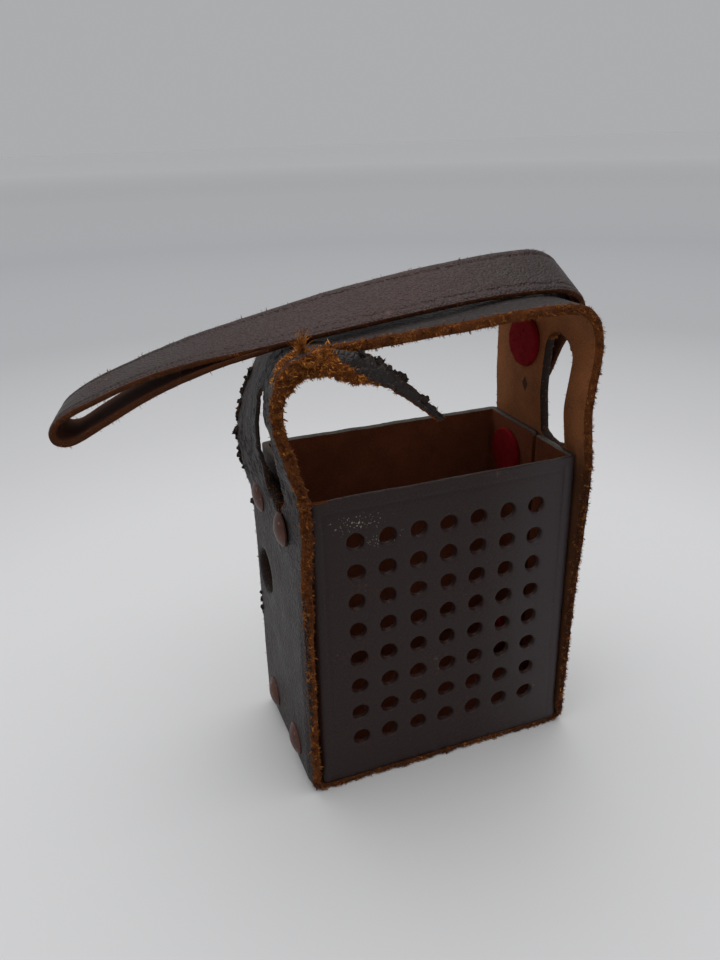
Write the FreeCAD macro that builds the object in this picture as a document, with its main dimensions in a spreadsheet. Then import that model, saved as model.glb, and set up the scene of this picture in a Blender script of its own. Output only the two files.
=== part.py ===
import FreeCAD, Part
import Sketcher
import math
import os

# Carrying case of a pocket radio, in millimetres and degrees. X runs to the right along the
# perforated front, Y to the back, Z up. The origin is the middle of the base's underside.
# Every height above the pans (the bridge, the uprights, the slots, the strap) is counted from the
# front pan's top edge, so that they go up with a taller pan.

FRONT = -1
BACK = 1
LEFT = -1
RIGHT = 1

SIZES = {
    # the two moulded pans
    "panWidth": 65.6,
    "panHeight": 74.4,
    "panThick": 1.6,
    "panRound": 3.0,
    "frontDepth": 15.5,
    "panSeam": 1.5,
    "backExtraHeight": 0.4,
    "caseDepth": 39.0,
    "panLift": 0.1,
    # sound holes, counted from the top left one
    "holeDiameter": 4.5,
    "holePitchAcross": 7.5,
    "holePitchDown": 7.62,
    "holeColumns": 7,
    "holeRows": 8,
    "holeTopMargin": 10.8,
    # the carrying band
    "bandThick": 2.2,
    "bandWidth": 41.0,
    "bandStandsOut": 3.0,
    # at the base the band's front edge is nearly flush with the front pan
    "bandBaseStandsOut": 0.4,
    "bandTrimStart": 15.0,
    "snugGap": 0.2,
    "looseGap": 1.0,
    "baseRound": 3.2,
    "crownRound": 6.0,
    "uprightLean": 0.6,
    "leanStart": -2.7,
    "leanEnd": 11.3,
    # the bridge's top, an arc in each edge
    "bridgeLeftFront": 32.3,
    "bridgeRightFront": 35.7,
    "bridgeLeftBack": 30.9,
    "bridgeRightBack": 35.5,
    "bridgeLeftEndFront": 7.0,
    "bridgeLeftEndBack": 9.5,
    "bridgeCrown": 1.3,
    # the stretched left upright: how far it bulges out at the front and leans in at the back
    "bulgeStart": -4.7,
    "bulgeFront": 5.4,
    "bulgeFrontHeight": 19.8,
    "bulgeBack": 2.8,
    "bulgeBackHeight": 3.8,
    "shoulderInset": 0.6,
    "shoulderDrop": 2.4,
    "leanInBack": 3.2,
    "leanInBackHeight": 20.8,
    # slots for the thumbwheels
    "slotFromFront": 9.3,
    "slotWidth": 9.5,
    "slotBottom": -0.2,
    "slotTop": 25.3,
    "tornSlotWidth": 13.2,
    "tornSlotBottom": -4.1,
    "tornSlotTop": 24.3,
    # the sliver torn off the bridge's front edge
    "tongueWidth": 5.0,
    "tongueTipWidth": 1.6,
    "tongueRootHeight": 29.5,
    "tongueReach": 26.0,
    "tongueDrop": 13.0,
    "tearWidth": 4.5,
    "tearLength": 29.0,
    # earphone hole in the left side
    "earphoneDiameter": 11.5,
    "earphoneHeight": 45.7,
    "earphoneFromBack": 8.5,
    "earphoneEase": 0.5,
    # double cap rivets
    "rivetAboveFloor": 6.2,
    "rivetBelowTop": 9.7,
    "rivetFromFront": 10.5,
    "rivetFromBack": 9.0,
    "rivetHole": 4.2,
    "capDiameter": 8.0,
    "capHeight": 1.7,
    "capRim": 0.35,
    "capTube": 3.9,
    "capBore": 2.9,
    "capHollow": 0.9,
    "tubeShort": 0.2,
    "headDiameter": 7.0,
    "headThick": 0.7,
    "shankDiameter": 2.8,
    "shankGap": 0.15,
    # felt discs over inner rivet heads
    "feltDiameter": 12.6,
    "feltThick": 1.3,
    "feltRecessEase": 0.3,
    "feltLowRise": 2.8,
    # the doubled wrist strap, leaning forward from its rivet
    "strapWidth": 15.0,
    "strapThick": 1.3,
    "innerSetback": 3.0,
    "strapTilt": 27.5,
    "strapRiseInside": 19.9,
    "strapGap": 0.5,
    "strapRound": 9.1,
    "strapTab": 9.0,
    "strapTabRound": 5.0,
    "strapRivetHeight": 20.9,
    "strapRivetFromBack": 13.0,
    "strapRivetEase": 0.3,
    "hingeGap": 0.15,
    "restGap": 0.35,
    # the free end of the loop, beyond the case's left side
    "loopReach": 43.7,
    "loopDropFront": 12.3,
    "loopDropBack": 13.5,
    "loopOpening": 4.5,
    "loopFoldSkew": 3.0,
}

doc = FreeCAD.newDocument("CarryingCase")
sheet = doc.addObject("Spreadsheet::Sheet", "sizes")
for row, (alias, amount) in enumerate(SIZES.items(), start=1):
    sheet.set(f"A{row}", alias)
    sheet.set(f"B{row}", str(amount))
    sheet.setAlias(f"B{row}", alias)
doc.recompute()

# Places that several pieces share, as expressions of the sheet's cells.
frontFace = "(-sizes.bandWidth / 2 + sizes.bandStandsOut)"
backFace = f"({frontFace} + sizes.caseDepth)"
panFloor = "(sizes.bandThick + sizes.panLift)"
panSide = "(sizes.panWidth / 2)"
panTop = f"({panFloor} + sizes.panHeight)"
backDepth = "(sizes.caseDepth - sizes.frontDepth - sizes.panSeam)"
wallRight = f"({panSide} + sizes.snugGap + sizes.bandThick)"
wallLeft = f"(-{panSide} - sizes.looseGap - sizes.bandThick)"
uprightRight = f"({wallRight} - sizes.uprightLean)"
rivetLow = f"({panFloor} + sizes.rivetAboveFloor)"
rivetHigh = f"({panTop} - sizes.rivetBelowTop)"
rivetFront = f"({frontFace} + sizes.rivetFromFront)"
rivetBack = f"({backFace} - sizes.rivetFromBack)"
earphonePlace = f"({backFace} - sizes.earphoneFromBack)"
strapRivetPlace = "(sizes.bandWidth / 2 - sizes.strapRivetFromBack)"
strapRivetHeight = f"({panTop} + sizes.strapRivetHeight)"
tubeReach = "(sizes.bandThick - sizes.tubeShort)"
strapRise = "(sizes.strapRiseInside + 2 * sizes.strapThick)"
strapFace = f"({uprightRight} + sizes.strapGap)"
strapOuter = f"({strapFace} + 2 * sizes.strapThick)"
strapSplit = f"({strapOuter} - sizes.strapRound)"


def abovePans(name):
    """The height of something that the sheet counts from the front pan's top edge."""
    return f"({panTop} + sizes.{name})"


def number(expression):
    """The value of an expression of the sheet's cells."""
    return float(sheet.evalExpression(expression))


def heightOf(name):
    return number(abovePans(name))


def originPlane(body, role):
    return next(plane for plane in body.Origin.OriginFeatures if plane.Role == role)


def newSketch(body, name, role, offset="0"):
    sketch = body.newObject("Sketcher::SketchObject", name)
    sketch.AttachmentSupport = [(originPlane(body, role), "")]
    sketch.MapMode = "FlatFace"
    sketch.setExpression("AttachmentOffset.Base.z", offset)
    return sketch


def bind(sketch, constraint, expression):
    """Add a size constraint and tie it to an expression."""
    index = sketch.addConstraint(constraint)
    sketch.setExpression(f"Constraints[{index}]", expression)


def placePoint(sketch, geometry, point, across, up):
    bind(sketch, Sketcher.Constraint("DistanceX", -1, 1, geometry, point, number(across)), across)
    bind(sketch, Sketcher.Constraint("DistanceY", -1, 1, geometry, point, number(up)), up)


def outline(sketch, corners):
    """A closed outline through corners, each a pair of expressions; a third item is the bulge
    direction of the arc that leads to the next corner, with the arc's radius."""
    points = [FreeCAD.Vector(number(across), number(up), 0) for across, up, *_ in corners]
    count = len(corners)
    edges = []
    for index, (corner, start) in enumerate(zip(corners, points)):
        end = points[(index + 1) % count]
        if len(corner) == 2:
            edges.append(sketch.addGeometry(Part.LineSegment(start, end)))
            continue
        side, radius = corner[2], number(corner[3])
        half = (end - start) * 0.5
        depth = math.sqrt(max(radius**2 - half.Length**2, 0))
        normal = FreeCAD.Vector(-half.y, half.x, 0).normalize()
        middle = start + half + normal * side * (radius - depth)
        edges.append(sketch.addGeometry(Part.Arc(start, middle, end)))
    # an arc that turns clockwise is stored from its end, so its two point numbers change places
    first, last = {}, {}
    for corner, edge in zip(corners, edges):
        clockwise = len(corner) > 2 and corner[2] > 0
        first[edge], last[edge] = (2, 1) if clockwise else (1, 2)
    for index, edge in enumerate(edges):
        following = edges[(index + 1) % count]
        sketch.addConstraint(
            Sketcher.Constraint("Coincident", edge, last[edge], following, first[following]))
    for corner, edge in zip(corners, edges):
        placePoint(sketch, edge, first[edge], corner[0], corner[1])
        if len(corner) > 2:
            bind(sketch, Sketcher.Constraint("Radius", edge, number(corner[3])), corner[3])
    return sketch


def rectangle(sketch, left, right, bottom, top):
    return outline(sketch, [(left, bottom), (right, bottom), (right, top), (left, top)])


def circle(sketch, across, up, diameter):
    centre = FreeCAD.Vector(number(across), number(up), 0)
    ring = sketch.addGeometry(Part.Circle(centre, FreeCAD.Vector(0, 0, 1), number(diameter) / 2))
    placePoint(sketch, ring, 3, across, up)
    bind(sketch, Sketcher.Constraint("Diameter", ring, number(diameter)), diameter)
    return sketch


def newBody(label):
    body = doc.addObject("PartDesign::Body", label)
    body.Label = label
    return body


def addPad(body, sketch, length, reverse=False, symmetric=False):
    pad = body.newObject("PartDesign::Pad", sketch.Name + "Pad")
    pad.Profile = sketch
    pad.Reversed = reverse
    pad.SideType = "Symmetric" if symmetric else "One side"
    pad.setExpression("Length", length)
    doc.recompute()
    return pad


def addPocket(body, sketch, length, reverse=False, symmetric=False):
    """A pocket that must remove material."""
    before = body.Shape.Volume
    pocket = body.newObject("PartDesign::Pocket", sketch.Name + "Pocket")
    pocket.Profile = sketch
    pocket.Reversed = reverse
    pocket.SideType = "Symmetric" if symmetric else "One side"
    pocket.setExpression("Length", length)
    doc.recompute()
    if not body.Shape.Volume < before:
        raise ValueError(f"{pocket.Name} of {body.Label} cuts nothing")
    return pocket


def addRevolution(body, sketch):
    turned = body.newObject("PartDesign::Revolution", sketch.Name + "Turned")
    turned.Profile = sketch
    turned.ReferenceAxis = (sketch, ["H_Axis"])
    turned.Angle = 360
    doc.recompute()
    return turned


def addFillet(body, base, edgeNames, radius):
    fillet = body.newObject("PartDesign::Fillet", base.Name + "Rounded")
    fillet.Base = (base, edgeNames)
    fillet.setExpression("Radius", radius)
    doc.recompute()
    return fillet


def edgesWhere(shape, test):
    """Names of the edges whose middle passes a test."""
    names = []
    for index, edge in enumerate(shape.Edges, start=1):
        if test(edge.BoundBox.Center, edge.BoundBox):
            names.append(f"Edge{index}")
    return names


def makePan(label, side, face, depth, extraHeight="0"):
    """A moulded pan: a face panel with side and bottom flanges, open at the top and inwards."""
    body = newBody(label)
    # the sketch plane looks along -Y, so an offset is the opposite of the Y coordinate
    panel = newSketch(body, label + "Panel", "XZ_Plane", f"-{face}")
    rectangle(panel, f"-{panSide}", panSide, panFloor, f"{panTop} + {extraHeight}")
    pad = addPad(body, panel, depth, reverse=side == FRONT)
    faceY = number(face)
    top = number(f"{panTop} + {extraHeight}")
    floor = number(panFloor)

    def roundedEdge(middle, box):
        onFace = abs(middle.y - faceY) < 1e-4 and middle.z < top - 1e-4
        alongFlange = abs(middle.z - floor) < 1e-4 and box.YLength > 1
        return onFace or alongFlange

    addFillet(body, pad, edgesWhere(pad.Shape, roundedEdge), "sizes.panRound")
    # the hollow runs out through the top and through the open side
    panelInside = f"({face} - {side} * sizes.panThick)"
    hollow = newSketch(body, label + "Hollow", "XZ_Plane", f"-{panelInside}")
    hollowSide = f"({panSide} - sizes.panThick)"
    rectangle(hollow, f"-{hollowSide}", hollowSide, f"{panFloor} + sizes.panThick",
              f"{panTop} + sizes.panHeight / 4")
    pocket = addPocket(body, hollow, f"{depth} * 2", reverse=side == BACK)
    insideY = number(panelInside)
    insideFloor = floor + number("panThick")

    def hollowEdge(middle, box):
        onPanel = abs(middle.y - insideY) < 1e-4 and middle.z < top - 1e-4
        alongFloor = abs(middle.z - insideFloor) < 1e-4 and box.YLength > 1
        return onPanel or alongFloor

    addFillet(body, pocket, edgesWhere(pocket.Shape, hollowEdge), "sizes.panRound - sizes.panThick")
    return body


def drillFlanges(body, place):
    """Rivet holes through both side flanges of a pan."""
    drilled = newSketch(body, body.Label + "RivetHoles", "YZ_Plane")
    for height in (rivetLow, rivetHigh):
        circle(drilled, place, height, "sizes.rivetHole")
    addPocket(body, drilled, "sizes.panWidth * 2", symmetric=True)


def makeFrontPan():
    body = makePan("front_pan", FRONT, frontFace, "sizes.frontDepth")
    drillFlanges(body, rivetFront)
    hole = newSketch(body, "soundHole", "XZ_Plane", f"-{frontFace}")
    firstColumn = "-sizes.holePitchAcross * (sizes.holeColumns - 1) / 2"
    topRow = f"{panTop} - sizes.holeTopMargin"
    circle(hole, firstColumn, topRow, "sizes.holeDiameter")
    single = addPocket(body, hole, "sizes.panThick * 2")
    before = body.Shape.Volume
    grid = body.newObject("PartDesign::LinearPattern", "soundHoles")
    grid.Originals = [single]
    grid.Direction = (hole, ["H_Axis"])
    grid.setExpression("Length", "sizes.holePitchAcross * (sizes.holeColumns - 1)")
    grid.setExpression("Occurrences", "sizes.holeColumns")
    grid.Direction2 = (hole, ["V_Axis"])
    grid.Reversed2 = True
    grid.setExpression("Length2", "sizes.holePitchDown * (sizes.holeRows - 1)")
    grid.setExpression("Occurrences2", "sizes.holeRows")
    body.Tip = grid
    doc.recompute()
    holeVolume = math.pi * number("sizes.holeDiameter") ** 2 / 4 * number("sizes.panThick")
    others = number("sizes.holeColumns * sizes.holeRows") - 1
    if abs(before - body.Shape.Volume - others * holeVolume) > holeVolume / 10:
        raise ValueError("the grid of sound holes is not whole")


def makeBackPan():
    body = makePan("back_pan", BACK, backFace, backDepth, "sizes.backExtraHeight")
    drillFlanges(body, rivetBack)
    # the earphone hole goes through the left flange only
    earphone = newSketch(body, "earphoneFlangeHole", "YZ_Plane", f"-{panSide}")
    circle(earphone, earphonePlace, "sizes.earphoneHeight",
           "sizes.earphoneDiameter + sizes.earphoneEase")
    addPocket(body, earphone, "sizes.panThick * 4", symmetric=True)


def offsetLine(points, distance):
    """Points of an open curve moved to its left by a distance."""
    moved = []
    for index, point in enumerate(points):
        before = points[max(index - 1, 0)]
        after = points[min(index + 1, len(points) - 1)]
        along = (after - before).normalize()
        moved.append(point + FreeCAD.Vector(-along.z, 0, along.x) * distance)
    return moved


def curveThrough(points):
    curve = Part.BSplineCurve()
    curve.interpolate(points)
    return curve.toShape()


def bridgePoint(across, share):
    """A point of the bridge's top surface; share is 0 at the front edge and 1 at the back edge."""
    left = heightOf("bridgeLeftFront") * (1 - share) + heightOf("bridgeLeftBack") * share
    right = heightOf("bridgeRightFront") * (1 - share) + heightOf("bridgeRightBack") * share
    end = number("bridgeLeftEndFront") * (1 - share) + number("bridgeLeftEndBack") * share
    start = number(wallLeft) + end
    stop = number(uprightRight) - number("crownRound")
    along = (across - start) / (stop - start)
    return left + (right - left) * along + number("bridgeCrown") * 4 * along * (1 - along)


def bandEdge(share, inset):
    """The closed outline of the band in its front (share 0) or back (share 1) edge plane, taken
    in by inset: base, right side, upright, crown, bridge, left upright and left side."""
    y = number("bandWidth") * (share - 0.5)
    left, right = number(wallLeft) + inset, number(wallRight) - inset
    upright = number(uprightRight) - inset
    baseRound = number("baseRound") - inset
    crownRound = number("crownRound") - inset
    crown = number(uprightRight) - number("crownRound")
    crownHeight = bridgePoint(crown, share) - number("crownRound")
    bridgeStart = number(wallLeft) + number(
        "bridgeLeftEndFront" if share == 0 else "bridgeLeftEndBack")

    def at(x, z):
        return FreeCAD.Vector(x, y, z)

    wall = number(wallLeft)
    bridgeEnd = at(bridgeStart, bridgePoint(bridgeStart, share))
    if share == 0:
        middle = at(wall - number("bulgeFront"), heightOf("bulgeFrontHeight"))
        shoulder = at(wall - number("shoulderInset"), bridgeEnd.z - number("shoulderDrop"))
    else:
        middle = at(wall - number("bulgeBack"), heightOf("bulgeBackHeight"))
        shoulder = at(wall + number("leanInBack"), heightOf("leanInBackHeight"))
    foot = at(wall, heightOf("bulgeStart"))
    leftUpright = offsetLine([bridgeEnd, shoulder, middle, foot], inset)
    bridgeLeft = leftUpright[0]
    bridgeRight = at(crown, bridgePoint(crown, share) - inset)
    bridgeMiddleX = (bridgeStart + crown) / 2
    bridgeMiddle = at(bridgeMiddleX, bridgePoint(bridgeMiddleX, share) - inset)
    diagonal = math.sqrt(0.5)
    leanStart, leanEnd = heightOf("leanStart"), heightOf("leanEnd")
    rightMiddle = baseRound * (1 - diagonal)
    edges = [
        Part.LineSegment(at(left + baseRound, inset), at(right - baseRound, inset)).toShape(),
        Part.Arc(
            at(right - baseRound, inset),
            at(right - rightMiddle, inset + rightMiddle),
            at(right, inset + baseRound),
        ).toShape(),
        Part.LineSegment(at(right, inset + baseRound), at(right, leanStart)).toShape(),
        Part.LineSegment(at(right, leanStart), at(upright, leanEnd)).toShape(),
        Part.LineSegment(at(upright, leanEnd), at(upright, crownHeight)).toShape(),
        Part.Arc(
            at(upright, crownHeight),
            at(crown + crownRound * diagonal, crownHeight + crownRound * diagonal),
            bridgeRight,
        ).toShape(),
        Part.Arc(bridgeRight, bridgeMiddle, bridgeLeft).toShape(),
        curveThrough(leftUpright[:-1] + [at(left, foot.z)]),
        Part.LineSegment(at(left, foot.z), at(left, inset + baseRound)).toShape(),
        Part.Arc(
            at(left, inset + baseRound),
            at(left + rightMiddle, inset + rightMiddle),
            at(left + baseRound, inset),
        ).toShape(),
    ]
    return Part.Wire(edges)


def ruledSolid(frontWire, backWire):
    return Part.makeLoft([frontWire, backWire], True, True)


def makeShape(label, shape):
    """A piece whose free curves neither sketches nor primitives follow."""
    piece = doc.addObject("Part::Feature", label)
    piece.Label = label
    piece.Shape = shape
    piece.Placement = FreeCAD.Placement()
    return piece


def makeTongueShape():
    """The torn sliver: a tapering strip of the band's thickness that hangs in the front plane."""
    rootX = number(wallLeft) + number("bridgeLeftEndFront")
    rootZ = heightOf("tongueRootHeight")
    reach, drop = number("tongueReach"), number("tongueDrop")
    wide, narrow = number("tongueWidth") / 2, number("tongueTipWidth") / 2
    y = -number("bandWidth") / 2
    middle = [FreeCAD.Vector(rootX - number("crownRound") / 2, y, rootZ)]
    steps = 4
    for step in range(1, steps + 1):
        along = step / steps
        middle.append(FreeCAD.Vector(rootX + reach * along, y, rootZ - drop * along**1.6))
    upper = offsetLine(middle[:-1], wide) + offsetLine(middle[-2:], narrow)[-1:]
    lower = offsetLine(middle[:-1], -wide) + offsetLine(middle[-2:], -narrow)[-1:]
    border = Part.Wire([
        curveThrough(upper),
        Part.LineSegment(upper[-1], lower[-1]).toShape(),
        curveThrough(lower[::-1]),
        Part.LineSegment(lower[0], upper[0]).toShape(),
    ])
    return Part.Face(border).extrude(FreeCAD.Vector(0, number("bandThick"), 0))


def makeTearShape():
    """The wedge that the torn sliver left in the bridge's front edge."""
    start = number(wallLeft) + number("bridgeLeftEndFront")
    y = -number("bandWidth") / 2
    low = heightOf("slotTop")
    corners = [
        FreeCAD.Vector(start, y - 1, low),
        FreeCAD.Vector(start + number("tearLength"), y - 1, low),
        FreeCAD.Vector(start + number("tearLength"), y, low),
        FreeCAD.Vector(start, y + number("tearWidth"), low),
    ]
    rise = heightOf("bridgeRightFront") - low + number("crownRound")
    return Part.Face(Part.makePolygon(corners + corners[:1])).extrude(FreeCAD.Vector(0, 0, rise))


def makeFrontTrimShape():
    """What is trimmed off the band's front edge, from its full width at the uprights to the base."""
    front = -number("bandWidth") / 2
    flush = front + number("bandStandsOut") - number("bandBaseStandsOut")
    outside = front - number("bandStandsOut")
    below, top = -number("bandThick"), heightOf("leanEnd")
    corners = [(outside, below), (flush, below), (flush, number("bandTrimStart")),
               (front, top), (outside, top)]
    start = number(wallLeft) - number("bulgeFront") * 2
    length = number(wallRight) - start + number("bulgeFront")
    border = Part.makePolygon([FreeCAD.Vector(start, y, z) for y, z in corners + corners[:1]])
    return Part.Face(border).extrude(FreeCAD.Vector(length, 0, 0))


def slotTool(name, side, width, bottom, top):
    """A round-topped slot cutter that passes through one upright."""
    reach = "(sizes.crownRound + sizes.bulgeFront)"
    start = f"{wallRight} - {reach}" if side == RIGHT else f"{wallLeft} - {reach}"
    length = f"{reach} * 2 + sizes.bridgeLeftEndBack / 4"
    slotStart = "(-sizes.bandWidth / 2 + sizes.slotFromFront)"
    box = doc.addObject("Part::Box", name + "Box")
    box.setExpression("Length", length)
    box.setExpression("Width", width)
    box.setExpression("Height", f"{top} - {bottom} - {width} / 2")
    box.setExpression("Placement.Base.x", start)
    box.setExpression("Placement.Base.y", slotStart)
    box.setExpression("Placement.Base.z", bottom)
    end = doc.addObject("Part::Cylinder", name + "End")
    end.setExpression("Radius", f"{width} / 2")
    end.setExpression("Height", length)
    end.Placement.Rotation = FreeCAD.Rotation(FreeCAD.Vector(0, 1, 0), 90)
    end.setExpression("Placement.Base.x", start)
    end.setExpression("Placement.Base.y", f"{slotStart} + {width} / 2")
    end.setExpression("Placement.Base.z", f"{top} - {width} / 2")
    return [box, end]


def crossDrill(name, start, length, y, z, diameter):
    """A cutter for a round hole along X."""
    drill = doc.addObject("Part::Cylinder", name)
    drill.setExpression("Radius", f"{diameter} / 2")
    drill.setExpression("Height", length)
    drill.Placement.Rotation = FreeCAD.Rotation(FreeCAD.Vector(0, 1, 0), 90)
    drill.setExpression("Placement.Base.x", start)
    drill.setExpression("Placement.Base.y", y)
    drill.setExpression("Placement.Base.z", z)
    return drill


def makeBand():
    thick = number("bandThick")
    outer = ruledSolid(bandEdge(0, 0), bandEdge(1, 0))
    inner = ruledSolid(bandEdge(0, thick), bandEdge(1, thick))
    loop = makeShape("bandLoop", outer.cut(inner))
    tear = makeShape("tear", makeTearShape())
    tools = [tear, makeShape("frontTrim", makeFrontTrimShape())]
    tools += slotTool("rightSlot", RIGHT, "sizes.slotWidth",
                      abovePans("slotBottom"), abovePans("slotTop"))
    tools += slotTool("leftSlot", LEFT, "sizes.tornSlotWidth",
                      abovePans("tornSlotBottom"), abovePans("tornSlotTop"))
    through = "sizes.panWidth * 2"
    fromLeft = "-sizes.panWidth"
    for heightName, height in (("Low", rivetLow), ("High", rivetHigh)):
        for placeName, place in (("Front", rivetFront), ("Back", rivetBack)):
            name = f"drill{placeName}{heightName}"
            tools.append(crossDrill(name, fromLeft, through, place, height, "sizes.rivetHole"))
    tools.append(crossDrill("drillStrap", "0", "sizes.panWidth", strapRivetPlace,
                            strapRivetHeight, "sizes.rivetHole"))
    tools.append(crossDrill("drillEarphone", fromLeft, "sizes.panWidth", earphonePlace,
                            "sizes.earphoneHeight", "sizes.earphoneDiameter"))
    cutters = doc.addObject("Part::MultiFuse", "bandCutters")
    cutters.Shapes = tools
    cut = doc.addObject("Part::Cut", "bandCut")
    cut.Base = loop
    cut.Tool = cutters
    tongue = makeShape("tongue", makeTongueShape())
    band = doc.addObject("Part::Fuse", "carry_band")
    band.Label = "carry_band"
    band.Base = cut
    band.Tool = tongue
    doc.recompute()


def makeCap(label):
    """The domed half of a double cap rivet. X points out of the leather, which ends at X 0."""
    body = newBody(label)
    domeRise = "(sizes.capHeight - sizes.capRim)"
    capRadius = "(sizes.capDiameter / 2)"
    domeRadius = f"(({domeRise} * {domeRise} + {capRadius} * {capRadius}) / (2 * {domeRise}))"
    profile = outline(newSketch(body, label + "Profile", "XZ_Plane"), [
        ("sizes.capHollow", "0"),
        ("sizes.capHeight", "0", -1, domeRadius),
        ("sizes.capRim", "sizes.capDiameter / 2"),
        ("0", "sizes.capDiameter / 2"),
        ("0", "sizes.capTube / 2"),
        (f"-{tubeReach}", "sizes.capTube / 2"),
        (f"-{tubeReach}", "sizes.capBore / 2"),
        ("sizes.capHollow", "sizes.capBore / 2"),
    ])
    addRevolution(body, profile)
    return body


def makePost(label, stack):
    """The headed half, whose head lies on the inner side of a stack of leather."""
    body = newBody(label)
    shankEnd = "(sizes.capHollow - sizes.shankGap)"
    profile = outline(newSketch(body, label + "Profile", "XZ_Plane"), [
        (f"-{stack} - sizes.headThick", "0"),
        (shankEnd, "0"),
        (shankEnd, "sizes.shankDiameter / 2"),
        (f"-{stack}", "sizes.shankDiameter / 2"),
        (f"-{stack}", "sizes.headDiameter / 2"),
        (f"-{stack} - sizes.headThick / 2", "sizes.headDiameter / 2"),
        (f"-{stack} - sizes.headThick", "sizes.headDiameter / 2 - sizes.headThick / 2"),
    ])
    addRevolution(body, profile)
    return body


def makeFelt(label, stack, rise="0"):
    """A felt disc with a dent for the rivet's head, its centre above the rivet by rise."""
    body = newBody(label)
    disc = newSketch(body, label + "Disc", "YZ_Plane", f"-{stack}")
    circle(disc, "0", rise, "sizes.feltDiameter")
    addPad(body, disc, "sizes.feltThick", reverse=True)
    dent = newSketch(body, label + "Dent", "YZ_Plane", f"-{stack}")
    circle(dent, "0", "0", "sizes.headDiameter + sizes.feltRecessEase")
    addPocket(body, dent, "sizes.headThick + sizes.feltRecessEase / 3")
    return body


def placeAtRivet(body, side, face, y, z):
    """Put a rivet piece at the leather's outer face, turned to point out of it."""
    if side == LEFT:
        body.Placement.Rotation = FreeCAD.Rotation(FreeCAD.Vector(0, 0, 1), 180)
    body.setExpression("Placement.Base.x", face)
    body.setExpression("Placement.Base.y", y)
    body.setExpression("Placement.Base.z", z)


def makeWallRivets():
    rightStack = "(sizes.bandThick + sizes.snugGap + sizes.panThick)"
    leftStack = "(sizes.bandThick + sizes.looseGap + sizes.panThick)"
    walls = (("left", LEFT, wallLeft, leftStack), ("right", RIGHT, wallRight, rightStack))
    for sideName, side, face, stack in walls:
        for placeName, place in (("front", rivetFront), ("back", rivetBack)):
            for level, height, rise in (
                ("lower", rivetLow, "sizes.feltLowRise"),
                ("upper", rivetHigh, "0"),
            ):
                name = f"{sideName}_{placeName}_{level}"
                placeAtRivet(makeCap(f"rivet_cap_{name}"), side, face, place, height)
                placeAtRivet(makePost(f"rivet_post_{name}", stack), side, face, place, height)
                if placeName == "back":
                    felt = makeFelt(f"felt_disc_{sideName}_{level}", stack, rise)
                    placeAtRivet(felt, side, face, place, height)


def makeStrapRivet():
    # the cap stands off the doubled strap by its running gap, and the post reaches the upright
    outerFace = f"({strapOuter} + sizes.restGap)"
    stack = f"({outerFace} - {uprightRight} + sizes.bandThick)"
    for piece in (
        makeCap("strap_rivet_cap"),
        makePost("strap_rivet_post", stack),
        makeFelt("felt_disc_strap", stack),
    ):
        placeAtRivet(piece, RIGHT, outerFace, strapRivetPlace, strapRivetHeight)


def strapBend(sketch, outerFace, layers):
    """The side view of some layers of strap from the tab's end, round the crown, to the split.
    The outermost of them has its face at outerFace."""
    innerFace = f"({outerFace} - {layers} * sizes.strapThick)"
    bendHeight = f"({strapRise} - sizes.strapRound)"
    outerRound = f"({outerFace} - {strapSplit})"
    innerRound = f"({innerFace} - {strapSplit})"
    return outline(sketch, [
        (innerFace, "-sizes.strapTab"),
        (outerFace, "-sizes.strapTab"),
        (outerFace, bendHeight, -1, outerRound),
        (strapSplit, f"{bendHeight} + {outerRound}"),
        (strapSplit, f"{bendHeight} + {innerRound}", 1, innerRound),
        (innerFace, bendHeight),
    ])


def makeStrapRoot():
    """The riveted end of the doubled strap: up from the rivet and round the crown. It is drawn
    upright about the rivet and its placement leans it forward. The inner layer stops short of
    the outer one's front edge, which lies on the bridge."""
    body = newBody("strap_root")
    outer = strapBend(newSketch(body, "strapOuterLayer", "XZ_Plane"), strapOuter, 1)
    addPad(body, outer, "sizes.strapWidth", symmetric=True)
    innerFace = f"({strapOuter} - sizes.strapThick)"
    inner = strapBend(newSketch(body, "strapInnerLayer", "XZ_Plane"), innerFace, 1)
    pad = addPad(body, inner, "sizes.strapWidth / 2 - sizes.innerSetback")
    pad.SideType = "Two sides"
    pad.setExpression("Length2", "sizes.strapWidth / 2")
    doc.recompute()
    tabEnd = -number("strapTab")
    halfWidth = number("strapWidth / 2")

    def tabCorner(middle, box):
        return abs(middle.z - tabEnd) < 1e-4 and abs(abs(middle.y) - halfWidth) < 1e-4

    addFillet(body, pad, edgesWhere(pad.Shape, tabCorner), "sizes.strapTabRound")
    hole = circle(newSketch(body, "strapRivetHole", "YZ_Plane", strapFace), "0", "0",
                  "sizes.capTube + 2 * sizes.strapRivetEase")
    addPocket(body, hole, "sizes.strapThick * 8", symmetric=True)
    body.Placement.Rotation = FreeCAD.Rotation(FreeCAD.Vector(1, 0, 0), number("strapTilt"))
    body.setExpression("Placement.Base.y", strapRivetPlace)
    body.setExpression("Placement.Base.z", strapRivetHeight)


def strapTopEdge(share):
    """Y and Z of the strap's top face above the crown, at its front (share 0) or back edge."""
    tilt = math.radians(number("strapTilt"))
    rise = number(strapRise)
    edge = (share - 0.5) * number("strapWidth")
    y = number(strapRivetPlace) - rise * math.sin(tilt) + edge * math.cos(tilt)
    z = number(strapRivetHeight) + rise * math.cos(tilt) + edge * math.sin(tilt)
    return y, z


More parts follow.
